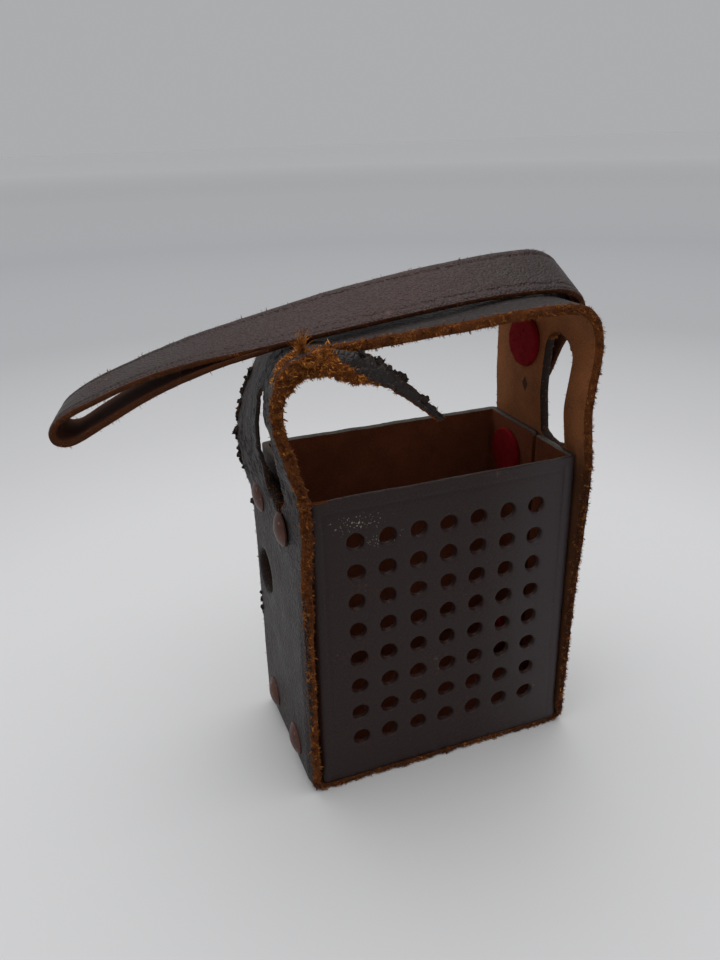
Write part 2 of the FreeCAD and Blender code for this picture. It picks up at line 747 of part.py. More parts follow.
def loopOutlines(share):
    """The loop's outer outline and the outline of the gap at its fold, in the edge plane at the
    strap's front (share 0) or back (share 1)."""
    y, topZ = strapTopEdge(share)
    # a layer's thickness measured upright, because the strap leans
    layer = number("strapThick") / math.cos(math.radians(number("strapTilt")))
    split = number(strapSplit) - number("hingeGap")
    bandShare = (y + number("bandWidth") / 2) / number("bandWidth")
    corner = number(wallLeft) + number("bridgeLeftEndBack")
    crown = number(uprightRight) - number("crownRound")
    middle = (split + corner) / 2
    # over the bridge the strap keeps its height above the bridge's top
    height = topZ - bridgePoint(crown, bandShare)
    fold = number(wallLeft) - number("loopReach") + share * number("loopFoldSkew")
    topMiddle = bridgePoint(middle, bandShare) + height
    cornerTop = bridgePoint(corner, bandShare) + height - share * number(strapRise) / 8
    drop = number("loopDropFront") * (1 - share) + number("loopDropBack") * share
    # at the front edge the inner layer is set back, and comes level only beyond the corner
    layersAtCorner = 1 + share

    def at(x, z):
        return FreeCAD.Vector(x, y, z)

    def halfGap(along):
        return number("loopOpening") / 2 * max(along - 0.3, 0) / 0.7

    upper, lower, gapUpper, gapLower = [], [], [], []
    steps = 5
    foldStart = fold + number("loopOpening") / 2 + layer
    for step in range(steps + 1):
        along = step / steps
        x = corner + (foldStart - corner) * along
        layers = min(layersAtCorner + along * steps / 2, 2)
        top = cornerTop - drop * along**1.35
        upper.append(at(x, top + halfGap(along)))
        lower.append(at(x, top - layers * layer - halfGap(along)))
        if step >= 2:
            gapUpper.append(at(x, top - layer + halfGap(along)))
            gapLower.append(at(x, top - layer - halfGap(along)))
    foldZ = cornerTop - drop - layer
    thick = layersAtCorner * layer
    border = Part.Wire([
        Part.Arc(at(split, topZ), at(middle, topMiddle), upper[0]).toShape(),
        curveThrough(upper),
        Part.Arc(upper[-1], at(fold, foldZ), lower[-1]).toShape(),
        curveThrough(lower[::-1]),
        Part.Arc(lower[0], at(middle, topMiddle - thick), at(split, topZ - thick)).toShape(),
        Part.LineSegment(at(split, topZ - thick), at(split, topZ)).toShape(),
    ])
    gap = Part.Wire([
        curveThrough(gapUpper),
        Part.Arc(gapUpper[-1], at(fold + layer, foldZ), gapLower[-1]).toShape(),
        curveThrough(gapLower[::-1]),
        Part.LineSegment(gapLower[0], gapUpper[0]).toShape(),
    ])
    return border, gap


def makeStrapLoop():
    frontBorder, frontGap = loopOutlines(0)
    backBorder, backGap = loopOutlines(1)
    makeShape("strap_loop", ruledSolid(frontBorder, backBorder).cut(ruledSolid(frontGap, backGap)))


def subParts():
    """The pieces that are written out, each with a lower-case label of its own."""
    helpers = {"bandLoop", "tear", "frontTrim", "tongue", "bandCutters", "bandCut"}
    found = []
    for item in doc.Objects:
        isBody = item.isDerivedFrom("PartDesign::Body")
        isPiece = item.Label in ("carry_band", "strap_loop")
        if (isBody or isPiece) and item.Label not in helpers:
            found.append(item)
    return found


def checkAndWrite():
    for item in doc.Objects:
        if {"Invalid", "Error"} & set(item.State):
            raise ValueError(f"{item.Label} has not been built: {item.State}")
    for piece in subParts():
        if piece.Shape.isNull() or not piece.Shape.isValid():
            raise ValueError(f"{piece.Label} has no valid shape")
    for piece in subParts():
        piece.Shape.exportStep(f"parts/{piece.Label}.step")
        print(piece.Label, round(piece.Shape.Volume, 1), len(piece.Shape.Solids))


os.makedirs("parts", exist_ok=True)
makeFrontPan()
makeBackPan()
makeBand()
makeWallRivets()
makeStrapRivet()
makeStrapRoot()
makeStrapLoop()
doc.recompute()
checkAndWrite()
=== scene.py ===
import math

import bpy
import numpy as np
from mathutils import Matrix, Vector, kdtree, noise


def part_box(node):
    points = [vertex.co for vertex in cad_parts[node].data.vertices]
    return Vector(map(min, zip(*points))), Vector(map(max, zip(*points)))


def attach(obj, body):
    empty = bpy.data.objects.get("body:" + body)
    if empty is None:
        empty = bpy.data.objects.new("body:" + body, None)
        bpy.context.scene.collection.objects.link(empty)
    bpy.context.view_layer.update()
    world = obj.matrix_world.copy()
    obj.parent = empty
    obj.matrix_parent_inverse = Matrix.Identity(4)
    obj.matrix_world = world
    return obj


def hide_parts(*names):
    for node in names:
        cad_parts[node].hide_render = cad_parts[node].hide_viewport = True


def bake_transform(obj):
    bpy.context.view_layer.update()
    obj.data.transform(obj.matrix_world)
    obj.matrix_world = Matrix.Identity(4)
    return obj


# A moulded leather carrying case for a pocket radio: two pans in a riveted carrying band, with a
# doubled wrist strap. Lengths are in millimetres until they go into a mesh.

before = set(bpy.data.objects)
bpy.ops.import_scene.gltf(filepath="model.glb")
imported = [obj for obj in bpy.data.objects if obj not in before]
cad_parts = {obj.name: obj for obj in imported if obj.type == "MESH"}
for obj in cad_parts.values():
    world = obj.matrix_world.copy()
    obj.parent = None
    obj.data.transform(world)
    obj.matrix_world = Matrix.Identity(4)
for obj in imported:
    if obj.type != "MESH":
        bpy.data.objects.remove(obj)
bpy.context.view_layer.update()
mm = 0.001


def nodeBox(node):
    low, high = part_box(node)
    return np.array(low) / mm, np.array(high) / mm


frontLow, frontHigh = nodeBox("front_pan")
backLow, backHigh = nodeBox("back_pan")
bandLow, bandHigh = nodeBox("carry_band")
print("frame loaded")


def colour(code):
    # an sRGB hex value as linear red, green, blue and alpha
    parts = [int(code[i:i + 2], 16) / 255 for i in (1, 3, 5)]
    return tuple(c / 12.92 if c <= 0.04045 else ((c + 0.055) / 1.055) ** 2.4 for c in parts) + (1.0,)


def addNode(tree, kind, inputs=None, **settings):
    # one node with its settings; an input is a plain value or another node's output
    node = tree.nodes.new(kind)
    for key, value in settings.items():
        setattr(node, key, value)
    for socket, value in (inputs or {}).items():
        if isinstance(value, bpy.types.NodeSocket):
            tree.links.new(value, node.inputs[socket])
        else:
            node.inputs[socket].default_value = value
    return node


def noiseAt(tree, place, scale, detail, roughness=0.5, part="Fac", **inputs):
    inputs.update({"Vector": place, "Scale": scale, "Detail": detail, "Roughness": roughness})
    return addNode(tree, "ShaderNodeTexNoise", inputs).outputs[part]


def mapRange(tree, value, low=0.0, high=1.0, toLow=0.0, toHigh=1.0, **settings):
    inputs = {"Value": value, "From Min": low, "From Max": high, "To Min": toLow, "To Max": toHigh}
    return addNode(tree, "ShaderNodeMapRange", inputs, **settings).outputs[0]


def maths(tree, operation, a, b):
    return addNode(tree, "ShaderNodeMath", {0: a, 1: b}, operation=operation).outputs[0]


def vectors(tree, operation, a, b=None):
    # b is the second vector, or the number that a is scaled by
    inputs = {0: a}
    if b is not None:
        inputs["Scale" if operation == "SCALE" else 1] = b
    node = addNode(tree, "ShaderNodeVectorMath", inputs, operation=operation)
    return node.outputs["Value" if operation in ("LENGTH", "DOT_PRODUCT") else 0]


def mix(tree, share, a, b):
    return addNode(tree, "ShaderNodeMix", {0: share, 6: a, 7: b}, data_type="RGBA").outputs[2]


def bump(tree, height, depth, strength=0.9, under=None, **settings):
    inputs = {"Height": height, "Distance": depth * mm, "Strength": strength}
    if under:
        inputs["Normal"] = under
    return addNode(tree, "ShaderNodeBump", inputs, **settings).outputs[0]


def ramp(tree, value, stops):
    # a colour ramp; stops are (position, hex colour) pairs
    node = addNode(tree, "ShaderNodeValToRGB", {"Fac": value})
    marks = node.color_ramp.elements
    while len(marks) < len(stops):
        marks.new(0.5)
    for mark, (position, shade) in zip(marks, stops):
        mark.position = position
        mark.color = colour(shade)
    return node.outputs["Color"]


def painted(tree, name):
    # what a piece's points say under that name
    return addNode(tree, "ShaderNodeAttribute", attribute_name=name).outputs["Fac"]


def startMaterial(name):
    material = bpy.data.materials.new(name)
    material.use_nodes = True
    tree = material.node_tree
    tree.nodes.clear()
    return material, tree, addNode(tree, "ShaderNodeTexCoord").outputs["Object"]


def endMaterial(material, tree, inputs):
    shader = addNode(tree, "ShaderNodeBsdfPrincipled", inputs)
    addNode(tree, "ShaderNodeOutputMaterial", {"Surface": shader.outputs["BSDF"]})
    material.diffuse_color = (0.2, 0.1, 0.06, 1)
    return material


def wayFrom(tree, place, middle, reach):
    # the way from a middle in mm, in parts of a reach in mm; a reach of 0 leaves that axis out
    moved = vectors(tree, "ADD", place, tuple(-c * mm for c in middle))
    return vectors(tree, "MULTIPLY", moved, tuple(1000 / c if c else 0.0 for c in reach))


def addNick(tree, place, under, nick):
    # a small dark diamond where the flesh was cut
    size = vectors(tree, "ABSOLUTE", wayFrom(tree, place, nick["at"], nick["half"]))
    mask = mapRange(tree, vectors(tree, "DOT_PRODUCT", size, (1, 1, 1)), 1.25, 0.95, toHigh=0.8)
    return mix(tree, mask, under, colour("#1E1815"))


def addDust(tree, place, under, spots):
    # pale specks of dust caught in the grain, thick in a few places
    specks = noiseAt(tree, place, 2600, 1)
    for spot in spots:
        away = vectors(tree, "LENGTH", wayFrom(tree, place, spot["at"], (spot["across"], 0, spot["up"])))
        need = mapRange(tree, away, toLow=spot["least"], toHigh=0.86)
        mask = mapRange(tree, maths(tree, "SUBTRACT", specks, need), high=0.03, toHigh=spot["strength"])
        under = mix(tree, mask, under, colour("#A29B8C"))
    return under


# ---- leather with its grain on: chrome tanned cowhide with a pigmented, plated finish. It is
# satin, pebbled like fine sand, scuffed paler on the high spots and browner where it bends.
# Painted light runs in bands along x from one place to another: a painted sheen on the pans and painted
# shade towards the strap's ends; dust lies round a middle. Both are given in mm.

panGrain = {"name": "plated cowhide, moulded", "dark": "#231413", "light": "#33211E", "scuff": "#4E4039",
            "pebble": 0.5, "pebbleDepth": 0.04, "crease": 2.4, "creaseDepth": 0.03, "rough": 0.5,
            "gloss": 0.34, "scuffs": 0.66, "fineDepth": 0.012, "worn": "#54311E",
            # painted sheen: the band along x greys the face towards its right side, from x 7 to 31 mm
            "paintedLightBands": [{"from": 7.0, "to": 31.0, "most": 0.42, "colour": "#494446"}], "dust": [
                {"at": (-22.0, -17.5, 70.5), "across": 13.0, "up": 4.4, "least": 0.6, "strength": 0.7},
                {"at": (-17.0, -17.5, 65.5), "across": 10.0, "up": 3.8, "least": 0.61, "strength": 0.7},
                {"at": (23.5, -17.5, 13.5), "across": 6.5, "up": 6.0, "least": 0.58, "strength": 0.22}]}
bandGrain = {"name": "plated cowhide, creased", "dark": "#211918", "light": "#312827", "scuff": "#54463F",
             "pebble": 0.6, "pebbleDepth": 0.17, "crease": 1.7, "creaseDepth": 0.18, "rough": 0.48,
             "gloss": 0.2, "scuffs": 0.61, "fineDepth": 0.016, "worn": "#4A2E20"}
strapGrain = {"name": "embossed cowhide strap", "dark": "#301D1A", "light": "#452D28", "scuff": "#64493F",
              "pebble": 0.55, "pebbleDepth": 0.3, "crease": 2.0, "creaseDepth": 0.05, "rough": 0.33,
              "gloss": 0.2, "scuffs": 0.63, "fineDepth": 0.075, "worn": "#5A3420",
              # painted shade: the bands darken the strap towards its right end, x 0 to 26 mm, and along the
              # loop, x -22 to -66 mm
              "paintedLightBands": [
                  {"from": 0.0, "to": 26.0, "most": 0.72, "colour": "#1E0E0B"},
                  {"from": -22.0, "to": -66.0, "most": 0.72, "colour": "#1E0E0B"}]}
sliverGrain = dict(bandGrain, name="plated cowhide, dried and wrinkled", rough=0.36, gloss=0.3, scuffs=0.6)


def makeGrain(look):
    material, tree, place = startMaterial(look["name"])
    bend = vectors(tree, "MULTIPLY", noiseAt(tree, place, 260, 2, part="Color"), (0.0006, 0.0006, 0.0006))
    moved = vectors(tree, "ADD", place, bend)
    pebbles = addNode(tree, "ShaderNodeTexVoronoi", {"Vector": moved, "Scale": 1000 / look["pebble"],
                      "Smoothness": 0.55}, feature="SMOOTH_F1").outputs["Distance"]
    creases = addNode(tree, "ShaderNodeTexVoronoi", {"Vector": moved, "Scale": 1000 / look["crease"]},
                      feature="DISTANCE_TO_EDGE").outputs["Distance"]
    patches = noiseAt(tree, place, 70, 5, 0.62)
    specks = noiseAt(tree, place, 900, 4, 0.7)
    tone = maths(tree, "SUBTRACT", patches, pebbles)
    shade = ramp(tree, tone, [(0.05, look["dark"]), (0.5, look["light"])])
    # painted light: each band mixes a flat colour in along x (painted sheen on the pans, shade on the strap)
    for paintedBand in look.get("paintedLightBands", []):
        across = addNode(tree, "ShaderNodeSeparateXYZ", {0: place}).outputs["X"]
        share = mapRange(tree, across, paintedBand["from"] * mm, paintedBand["to"] * mm, toHigh=paintedBand["most"])
        shade = mix(tree, share, shade, colour(paintedBand["colour"]))
    least = look["scuffs"] * 2
    scuffed = mapRange(tree, maths(tree, "ADD", specks, patches), least - 0.08, least + 0.1)
    shade = mix(tree, scuffed, shade, colour(look["scuff"]))
    worn = mapRange(tree, maths(tree, "MULTIPLY", painted(tree, "wear"), specks), 0.28, 0.6)
    shade = mix(tree, worn, shade, colour(look["worn"]))
    shade = addDust(tree, place, shade, look.get("dust", []))
    rough = mapRange(tree, patches, 0.3, 0.7, look["rough"] - 0.06, look["rough"] + 0.1)
    creaseLine = mapRange(tree, creases, high=0.16, interpolation_type="SMOOTHSTEP")
    relief = bump(tree, creaseLine, look["creaseDepth"], 0.8)
    relief = bump(tree, pebbles, look["pebbleDepth"], 0.9, relief, invert=True)
    relief = bump(tree, noiseAt(tree, place, 5200, 2), look["fineDepth"], 0.7, relief)
    return endMaterial(material, tree, {"Base Color": shade, "Roughness": rough, "Normal": relief,
                                        "IOR": 1.45, "Specular IOR Level": look["gloss"]})


# ---- the split flesh side and the raw edges: loose fibres, matt, tan to orange, darkened in places as painted shade

suedeLooks = {
    "flesh": {"name": "flesh side of the band", "dark": "#5E3921", "light": "#A66A41", "fibre": 0.35,
              "depth": 0.09, "nick": {"at": (32.4, 5.8, 87.8), "half": (9.0, 1.25, 1.9)}},
    "strapFlesh": {"name": "flesh side of the strap", "dark": "#3A2015", "light": "#633A26", "fibre": 0.35,
                   "depth": 0.08},
    "panFlesh": {"name": "flesh side of the pans", "dark": "#4E2A1B", "light": "#834A30", "fibre": 0.35,
                 "depth": 0.07},
    "rawEdge": {"name": "raw cut edge of cowhide", "dark": "#2E170B", "light": "#7A431C", "fibre": 0.28,
                "depth": 0.2},
    "strapEdge": {"name": "raw cut edge of the strap", "dark": "#2A150C", "light": "#573018", "fibre": 0.25,
                  "depth": 0.16},
    "dryEdge": {"name": "weathered cut edge", "dark": "#2B2724", "light": "#6C6760", "fibre": 0.5,
                "depth": 0.08},
    "holeEdge": {"name": "punched edge of cowhide", "dark": "#21130F", "light": "#3E2620", "fibre": 0.25,
                 "depth": 0.08},
    # also laid on as painted shade: on the torn sliver's upper rim and on the flesh beside the left slot
    "darkEdge": {"name": "dark cut edge, partly painted shade", "dark": "#1C1614", "light": "#362D28", "fibre": 0.4,
                 "depth": 0.05},
}


def makeSuede(look):
    material, tree, place = startMaterial(look["name"])
    fibres = noiseAt(tree, place, 1000 / look["fibre"], 4, 0.75, Distortion=0.6)
    patches = noiseAt(tree, place, 130, 4, 0.6)
    tone = maths(tree, "ADD", fibres, mapRange(tree, patches, toLow=0.25, toHigh=0.75))
    shade = ramp(tree, mapRange(tree, tone, 0.72, 1.28), [(0.0, look["dark"]), (1.0, look["light"])])
    # painted shade: the flesh is mixed towards near black by each point's grime number
    shade = mix(tree, painted(tree, "paintedShade"), shade, colour("#1C100C"))
    if "nick" in look:
        shade = addNick(tree, place, shade, look["nick"])
    return endMaterial(material, tree, {
        "Base Color": shade, "Roughness": mapRange(tree, patches, toLow=0.86),
        "Normal": bump(tree, fibres, look["depth"]), "IOR": 1.4, "Specular IOR Level": 0.2})


def makeFibre(name, *stops):
    # teased-out fibres: each keeps one shade, set by a noise over space
    material, tree, place = startMaterial(name)
    shade = ramp(tree, noiseAt(tree, place, 700, 2), stops)
    return endMaterial(material, tree, {"Base Color": shade, "Roughness": 0.85, "IOR": 1.45,
                                        "Specular IOR Level": 0.3})


def makeFelt():
    # pressed wool felt: dyed red, matt, with a short nap
    material, tree, place = startMaterial("pressed red wool felt")
    nap = noiseAt(tree, place, 3200, 4, 0.7)
    tone = mapRange(tree, maths(tree, "ADD", nap, noiseAt(tree, place, 400, 3)), 0.6, 1.4)
    return endMaterial(material, tree, {
        "Base Color": ramp(tree, tone, [(0.0, "#6C0810"), (1.0, "#8E101A")]), "Roughness": 0.95,
        "Normal": bump(tree, nap, 0.12), "IOR": 1.45, "Specular IOR Level": 0.15})


def makeCapPaint():
    # steel rivet caps, stamped and enamelled brown: glossy, with rubs down to the metal
    material, tree, place = startMaterial("brown enamel on stamped steel")
    wear = noiseAt(tree, place, 900, 5, 0.7)
    bare = mapRange(tree, wear, 0.6, 0.68)
    clouds = noiseAt(tree, place, 350, 2)
    paint = ramp(tree, clouds, [(0.3, "#3A1E16"), (0.7, "#532D20")])
    return endMaterial(material, tree, {
        "Base Color": mix(tree, bare, paint, colour("#8C7466")), "Metallic": bare,
        "Roughness": mapRange(tree, clouds, toLow=0.34, toHigh=0.55), "Normal": bump(tree, wear, 0.02, 0.6),
        "Specular IOR Level": 0.26})


def makeCopper():
    # copper-washed rivet heads, turned by the press and tarnished to brown
    material, tree, place = startMaterial("tarnished copper wash")
    tarnish = noiseAt(tree, place, 700, 5, 0.65)
    return endMaterial(material, tree, {
        "Base Color": ramp(tree, tarnish, [(0.35, "#5E3222"), (0.65, "#B87A5C")]), "Metallic": 1.0,
        "Roughness": mapRange(tree, tarnish, toLow=0.5, toHigh=0.3),
        "Normal": bump(tree, tarnish, 0.02, 0.5)})


panLeather, bandLeather, strapLeather, sliverLeather = (
    makeGrain(look) for look in (panGrain, bandGrain, strapGrain, sliverGrain))
suede = {key: makeSuede(look) for key, look in suedeLooks.items()}
brightFibre = makeFibre("freshly torn fibre", (0.3, "#5E3010"), (0.5, "#A4601F"), (0.72, "#DA9A4A"))
orangeFibre = makeFibre("teased leather fibre", (0.3, "#3E1F0B"), (0.5, "#74401A"), (0.72, "#B0702F"))
brownFibre = makeFibre("teased strap fibre", (0.3, "#3A1D0E"), (0.55, "#70401F"), (0.75, "#8A5028"))
redFibre = makeFibre("red wool fibre", (0.3, "#6A0A10"), (0.7, "#9A101A"))
crumbDark = makeFibre("flaked finish", (0.3, "#171312"), (0.7, "#33241B"))
felt, capPaint, copper = makeFelt(), makeCapPaint(), makeCopper()


def sheetOf(leather, *keys):
    # a sheet's materials: its grain, then its flesh side and its edges
    return [leather] + [suede[key] for key in keys]


print("materials made")


# ---- lines, noise and sheets

# a row holds a point on each of two edges, so its steps are about root 2 longer
rowStretch = 1.41


def smoothLine(points, step, closed=False):
    # rows about step apart on one smooth line through the given rows
    given = np.array(points, float)
    count = len(given)
    last = count if closed else count - 1
    steps = [np.linalg.norm(given[(i + 1) % count] - given[i]) for i in range(last)]
    slopes = []
    for i in range(count):
        if closed or 0 < i < count - 1:
            span = steps[i - 1] + steps[i % last]
            slopes.append((given[(i + 1) % count] - given[i - 1]) / span)
        else:
            a = min(i, count - 2)
            slopes.append((given[a + 1] - given[a]) / steps[a])
    rows = []
    for i in range(last):
        a, b, h = given[i], given[(i + 1) % count], steps[i]
        for t in np.linspace(0, 1, max(int(h / step * 3), 3), endpoint=False):
            rows.append((2 * t**3 - 3 * t**2 + 1) * a + (t**3 - 2 * t**2 + t) * h * slopes[i]
                        + (3 * t**2 - 2 * t**3) * b + (t**3 - t**2) * h * slopes[(i + 1) % count])
    rows.append(given[0] if closed else given[-1])
    rows = np.array(rows)
    travel = np.r_[0, np.cumsum(np.linalg.norm(np.diff(rows, axis=0), axis=1))]
    wanted = np.linspace(0, travel[-1], int(travel[-1] / step) + 1)
    even = np.stack([np.interp(wanted, travel, rows[:, k]) for k in range(rows.shape[1])], axis=1)
    return even[:-1] if closed else even


def wander(points, size, seed=0.0):
    # smooth noise from -1 to 1 at each point, in lumps of that size
    return np.array([noise.noise(Vector(p) / size + Vector((seed, seed * 1.7, -seed))) for p in points])


def ease(value, low, high):
    t = np.clip((np.asarray(value, float) - low) / (high - low), 0, 1)
    return t * t * (3 - 2 * t)


def addObject(name, data):
    holder = bpy.data.objects.new(name, data)
    bpy.context.scene.collection.objects.link(holder)
    return holder


def turnedOver(faces):
    return [tuple(reversed(face)) for face in faces]


def setPoints(mesh, key, values):
    # one number for every point of a mesh, under a name that materials and node trees can read
    numbers = np.array(values, dtype=np.float32)
    mesh.attributes.new(key, "FLOAT", "POINT").data.foreach_set("value", numbers)


def looksAway(points, face, direction):
    # whether a face is turned against a direction
    a, b, c = (np.array(points[i][:3]) for i in face[:3])
    return np.dot(np.cross(b - a, c - a), direction) < 0


def makePiece(name, points, faces, materials, faceMaterials, attributes=None):
    mesh = bpy.data.meshes.new(name)
    mesh.from_pydata((np.asarray(points) * mm).tolist(), [], faces)
    for material in materials:
        mesh.materials.append(material)
    mesh.polygons.foreach_set("material_index", np.array(faceMaterials, dtype=np.int32))
    mesh.polygons.foreach_set("use_smooth", np.ones(len(mesh.polygons), dtype=bool))
    for key, values in (attributes or {}).items():
        setPoints(mesh, key, values)
    mesh.update()
    return addObject(name, mesh)


def ruledGrid(rows, shares):
    # points between the two edges of each row, at those shares of the way, and their unit normals
    shares = shares[:, None]
    grid = rows[:, None, :3] * (1 - shares) + rows[:, None, 3:] * shares
    normals = np.cross(np.gradient(grid, axis=0), np.gradient(grid, axis=1))
    return grid, normals / np.maximum(np.linalg.norm(normals, axis=2, keepdims=True), 1e-9)


def stripFaces(grain, direction, columns):
    # the quads of a strip, turned to look along its normals
    faces = [(a, a + columns, a + columns + 1, a + 1) for start in range(0, len(grain) - columns, columns)
             for a in range(start, start + columns - 1)]
    middle = faces[len(faces) // 2]
    return turnedOver(faces) if looksAway(grain, middle, direction[middle[0]]) else faces


def leatherShell(name, outer, inner, faces, materials, rim, rimRows=5, bulge=0.25, ragged=0.12, wearWidth=2.2,
                 torn=None, crumbly=None, wrap=None, paintedShadeFaces=None, paintedShading=None):
    # A thick sheet: the grain face, the flesh face behind it and a rim along every open border.
    # rim(point) gives the rim's material index and how fibrous it is, from 0 to 1. torn(points) tells
    # how far the grain is torn off at each point, crumbly(points) where the finish flakes, stained(points)
    # where the flesh takes the dark edge colour as painted shade, soiling(points) how far the flesh is
    # darkened as painted shade, and wrap(point) how many rows of the rim the finish still covers.
    outer, inner = np.asarray(outer, float), np.asarray(inner, float)
    count = len(outer)
    used = set()
    for face in faces:
        for a, b in zip(face, face[1:] + face[:1]):
            used.add((a, b))
    border = sorted((a, b) for a, b in used if (b, a) not in used)
    away = {}
    for a, b in border:
        edge = outer[b] - outer[a]
        out = np.cross(edge, outer[a] - inner[a])
        out /= max(np.linalg.norm(out), 1e-9)
        away[a] = away.get(a, 0) + out
        away[b] = away.get(b, 0) + out
    ring = sorted(away)
    slot = {point: k for k, point in enumerate(ring)}
    points = [outer, inner]
    allFaces = [tuple(f) for f in faces] + [tuple(i + count for i in reversed(f)) for f in faces]
    kinds = [0] * len(faces) + [1] * len(faces)
    kindOf, fuzzOf = {}, np.zeros(len(ring))
    for point in ring:
        kindOf[point], fuzzOf[slot[point]] = rim(outer[point])
    outward = np.array([away[p] / max(np.linalg.norm(away[p]), 1e-9) for p in ring])
    for row in range(1, rimRows):
        t = row / rimRows
        middle = outer[ring] * (1 - t) + inner[ring] * t
        rough = 0.9 * wander(middle, 0.55, 3.1) + 0.9 * wander(middle, 1.4, 7.7)
        push = bulge * math.sin(math.pi * t) + ragged * (rough + 0.5) * (0.2 + 1.4 * fuzzOf)
        points.append(middle + outward * push[:, None])
    start = 2 * count

    def at(point, row):
        if row == 0:
            return point
        return point + count if row == rimRows else start + (row - 1) * len(ring) + slot[point]

    for a, b in border:
        covered = wrap(outer[a]) if wrap else 0
        for row in range(rimRows):
            allFaces.append((at(b, row), at(a, row), at(a, row + 1), at(b, row + 1)))
            kinds.append(0 if row < covered else kindOf[a])
    allPoints = np.vstack(points)
    bare = torn(outer) if torn else np.zeros(count)
    kinds[:len(faces)] = [2 if bare[list(f)].mean() > 0.5 else 0 for f in faces]
    # the flesh faces that stained picks take the dark edge material as painted shade
    if paintedShadeFaces:
        black = paintedShadeFaces(inner)
        kinds[len(faces):2 * len(faces)] = [3 if black[list(f)].mean() > 0.5 else 1 for f in faces]
    fuzz = np.zeros(len(allPoints))
    fuzz[start:] = np.tile(fuzzOf, rimRows - 1)
    fuzz[ring] = fuzzOf * 0.35
    fuzz[np.array(ring) + count] = fuzzOf * 0.5
    fuzz[:count] = np.maximum(fuzz[:count], bare)
    crumbs = np.zeros(len(allPoints))
    if crumbly:
        crumbs[start:] = crumbly(allPoints[start:])
        crumbs[ring] = crumbly(outer[ring])
    wear = np.zeros(len(allPoints))
    if len(ring):
        tree = kdtree.KDTree(len(ring))
        for k, point in enumerate(ring):
            tree.insert(outer[point], k)
        tree.balance()
        for k in range(count):
            index, distance = tree.find(outer[k])[1:]
            gain = 0.9 if kindOf[ring[index]] == 4 else 0.35 + 0.65 * fuzzOf[index]
            wear[k] = max(0, 1 - distance / wearWidth) * gain
    # how far each point's flesh is darkened as painted shade
    paintedShade = paintedShading(allPoints) if paintedShading else np.zeros(len(allPoints))
    piece = makePiece(name, allPoints, allFaces, materials, kinds,
                      {"fuzz": fuzz, "wear": wear, "crumbs": crumbs, "paintedShade": paintedShade})
    sharp = piece.data.attributes.new("sharp_edge", "BOOLEAN", "EDGE")
    borderSet = {frozenset(e) for e in border} | {frozenset((a + count, b + count)) for a, b in border}
    sharp.data.foreach_set("value", [frozenset(e.vertices) in borderSet for e in piece.data.edges])
    return piece


# ---- what grows on a sheet: fibres and flakes, by node trees

def startTree(name, given, made, **kinds):
    # a tree that makes one mesh from another, with its named sizes as further inputs
    tree = bpy.data.node_groups.new(name, "GeometryNodeTree")
    for label, kind in ((given, "Geometry"), *kinds.items()):
        tree.interface.new_socket(name=label, in_out="INPUT", socket_type="NodeSocket" + kind)
    tree.interface.new_socket(name=made, in_out="OUTPUT", socket_type="NodeSocketGeometry")
    return tree, addNode(tree, "NodeGroupInput").outputs


def endTree(tree, given, made, mesh, offset):
    # the finished mesh, its points moved and its material set, goes out
    moved = addNode(tree, "GeometryNodeSetPosition", {"Geometry": mesh, "Offset": offset})
    shown = addNode(tree, "GeometryNodeSetMaterial", {"Geometry": moved.outputs[0],
                    "Material": given["Material"]})
    addNode(tree, "NodeGroupOutput", {made: shown.outputs[0]})
    return tree


def scatter(tree, given, field, clump):
    # points all over the sheet, as dense as the field and the clumps say
    dense = maths(tree, "MULTIPLY", maths(tree, "MULTIPLY", field, given["Density"]), clump)
    return addNode(tree, "GeometryNodeDistributePointsOnFaces", {"Mesh": given["Sheet"], "Density": dense,
                   "Seed": given["Seed"]}, distribute_method="RANDOM").outputs


def setOut(tree, points, instance, **inputs):
    # one real copy of the instance at every point
    placed = addNode(tree, "GeometryNodeInstanceOnPoints", {"Points": points, "Instance": instance, **inputs})
    return addNode(tree, "GeometryNodeRealizeInstances", {"Geometry": placed.outputs[0]}).outputs[0]


def named(tree, name):
    return addNode(tree, "GeometryNodeInputNamedAttribute", {"Name": name}, data_type="FLOAT").outputs[0]


def anyVector(tree, given, low, high):
    return addNode(tree, "FunctionNodeRandomValue", {"Min": low, "Max": high, "Seed": given["Seed"]},
                   data_type="FLOAT_VECTOR").outputs[0]


def anyNumber(tree, given, low, high):
    return addNode(tree, "FunctionNodeRandomValue", {2: low, 3: high, "Seed": given["Seed"]},
                   data_type="FLOAT").outputs[1]


def centred(tree, swirl):
    # a noise colour as a vector to any side
    return vectors(tree, "SUBTRACT", swirl, (0.5, 0.5, 0.5))


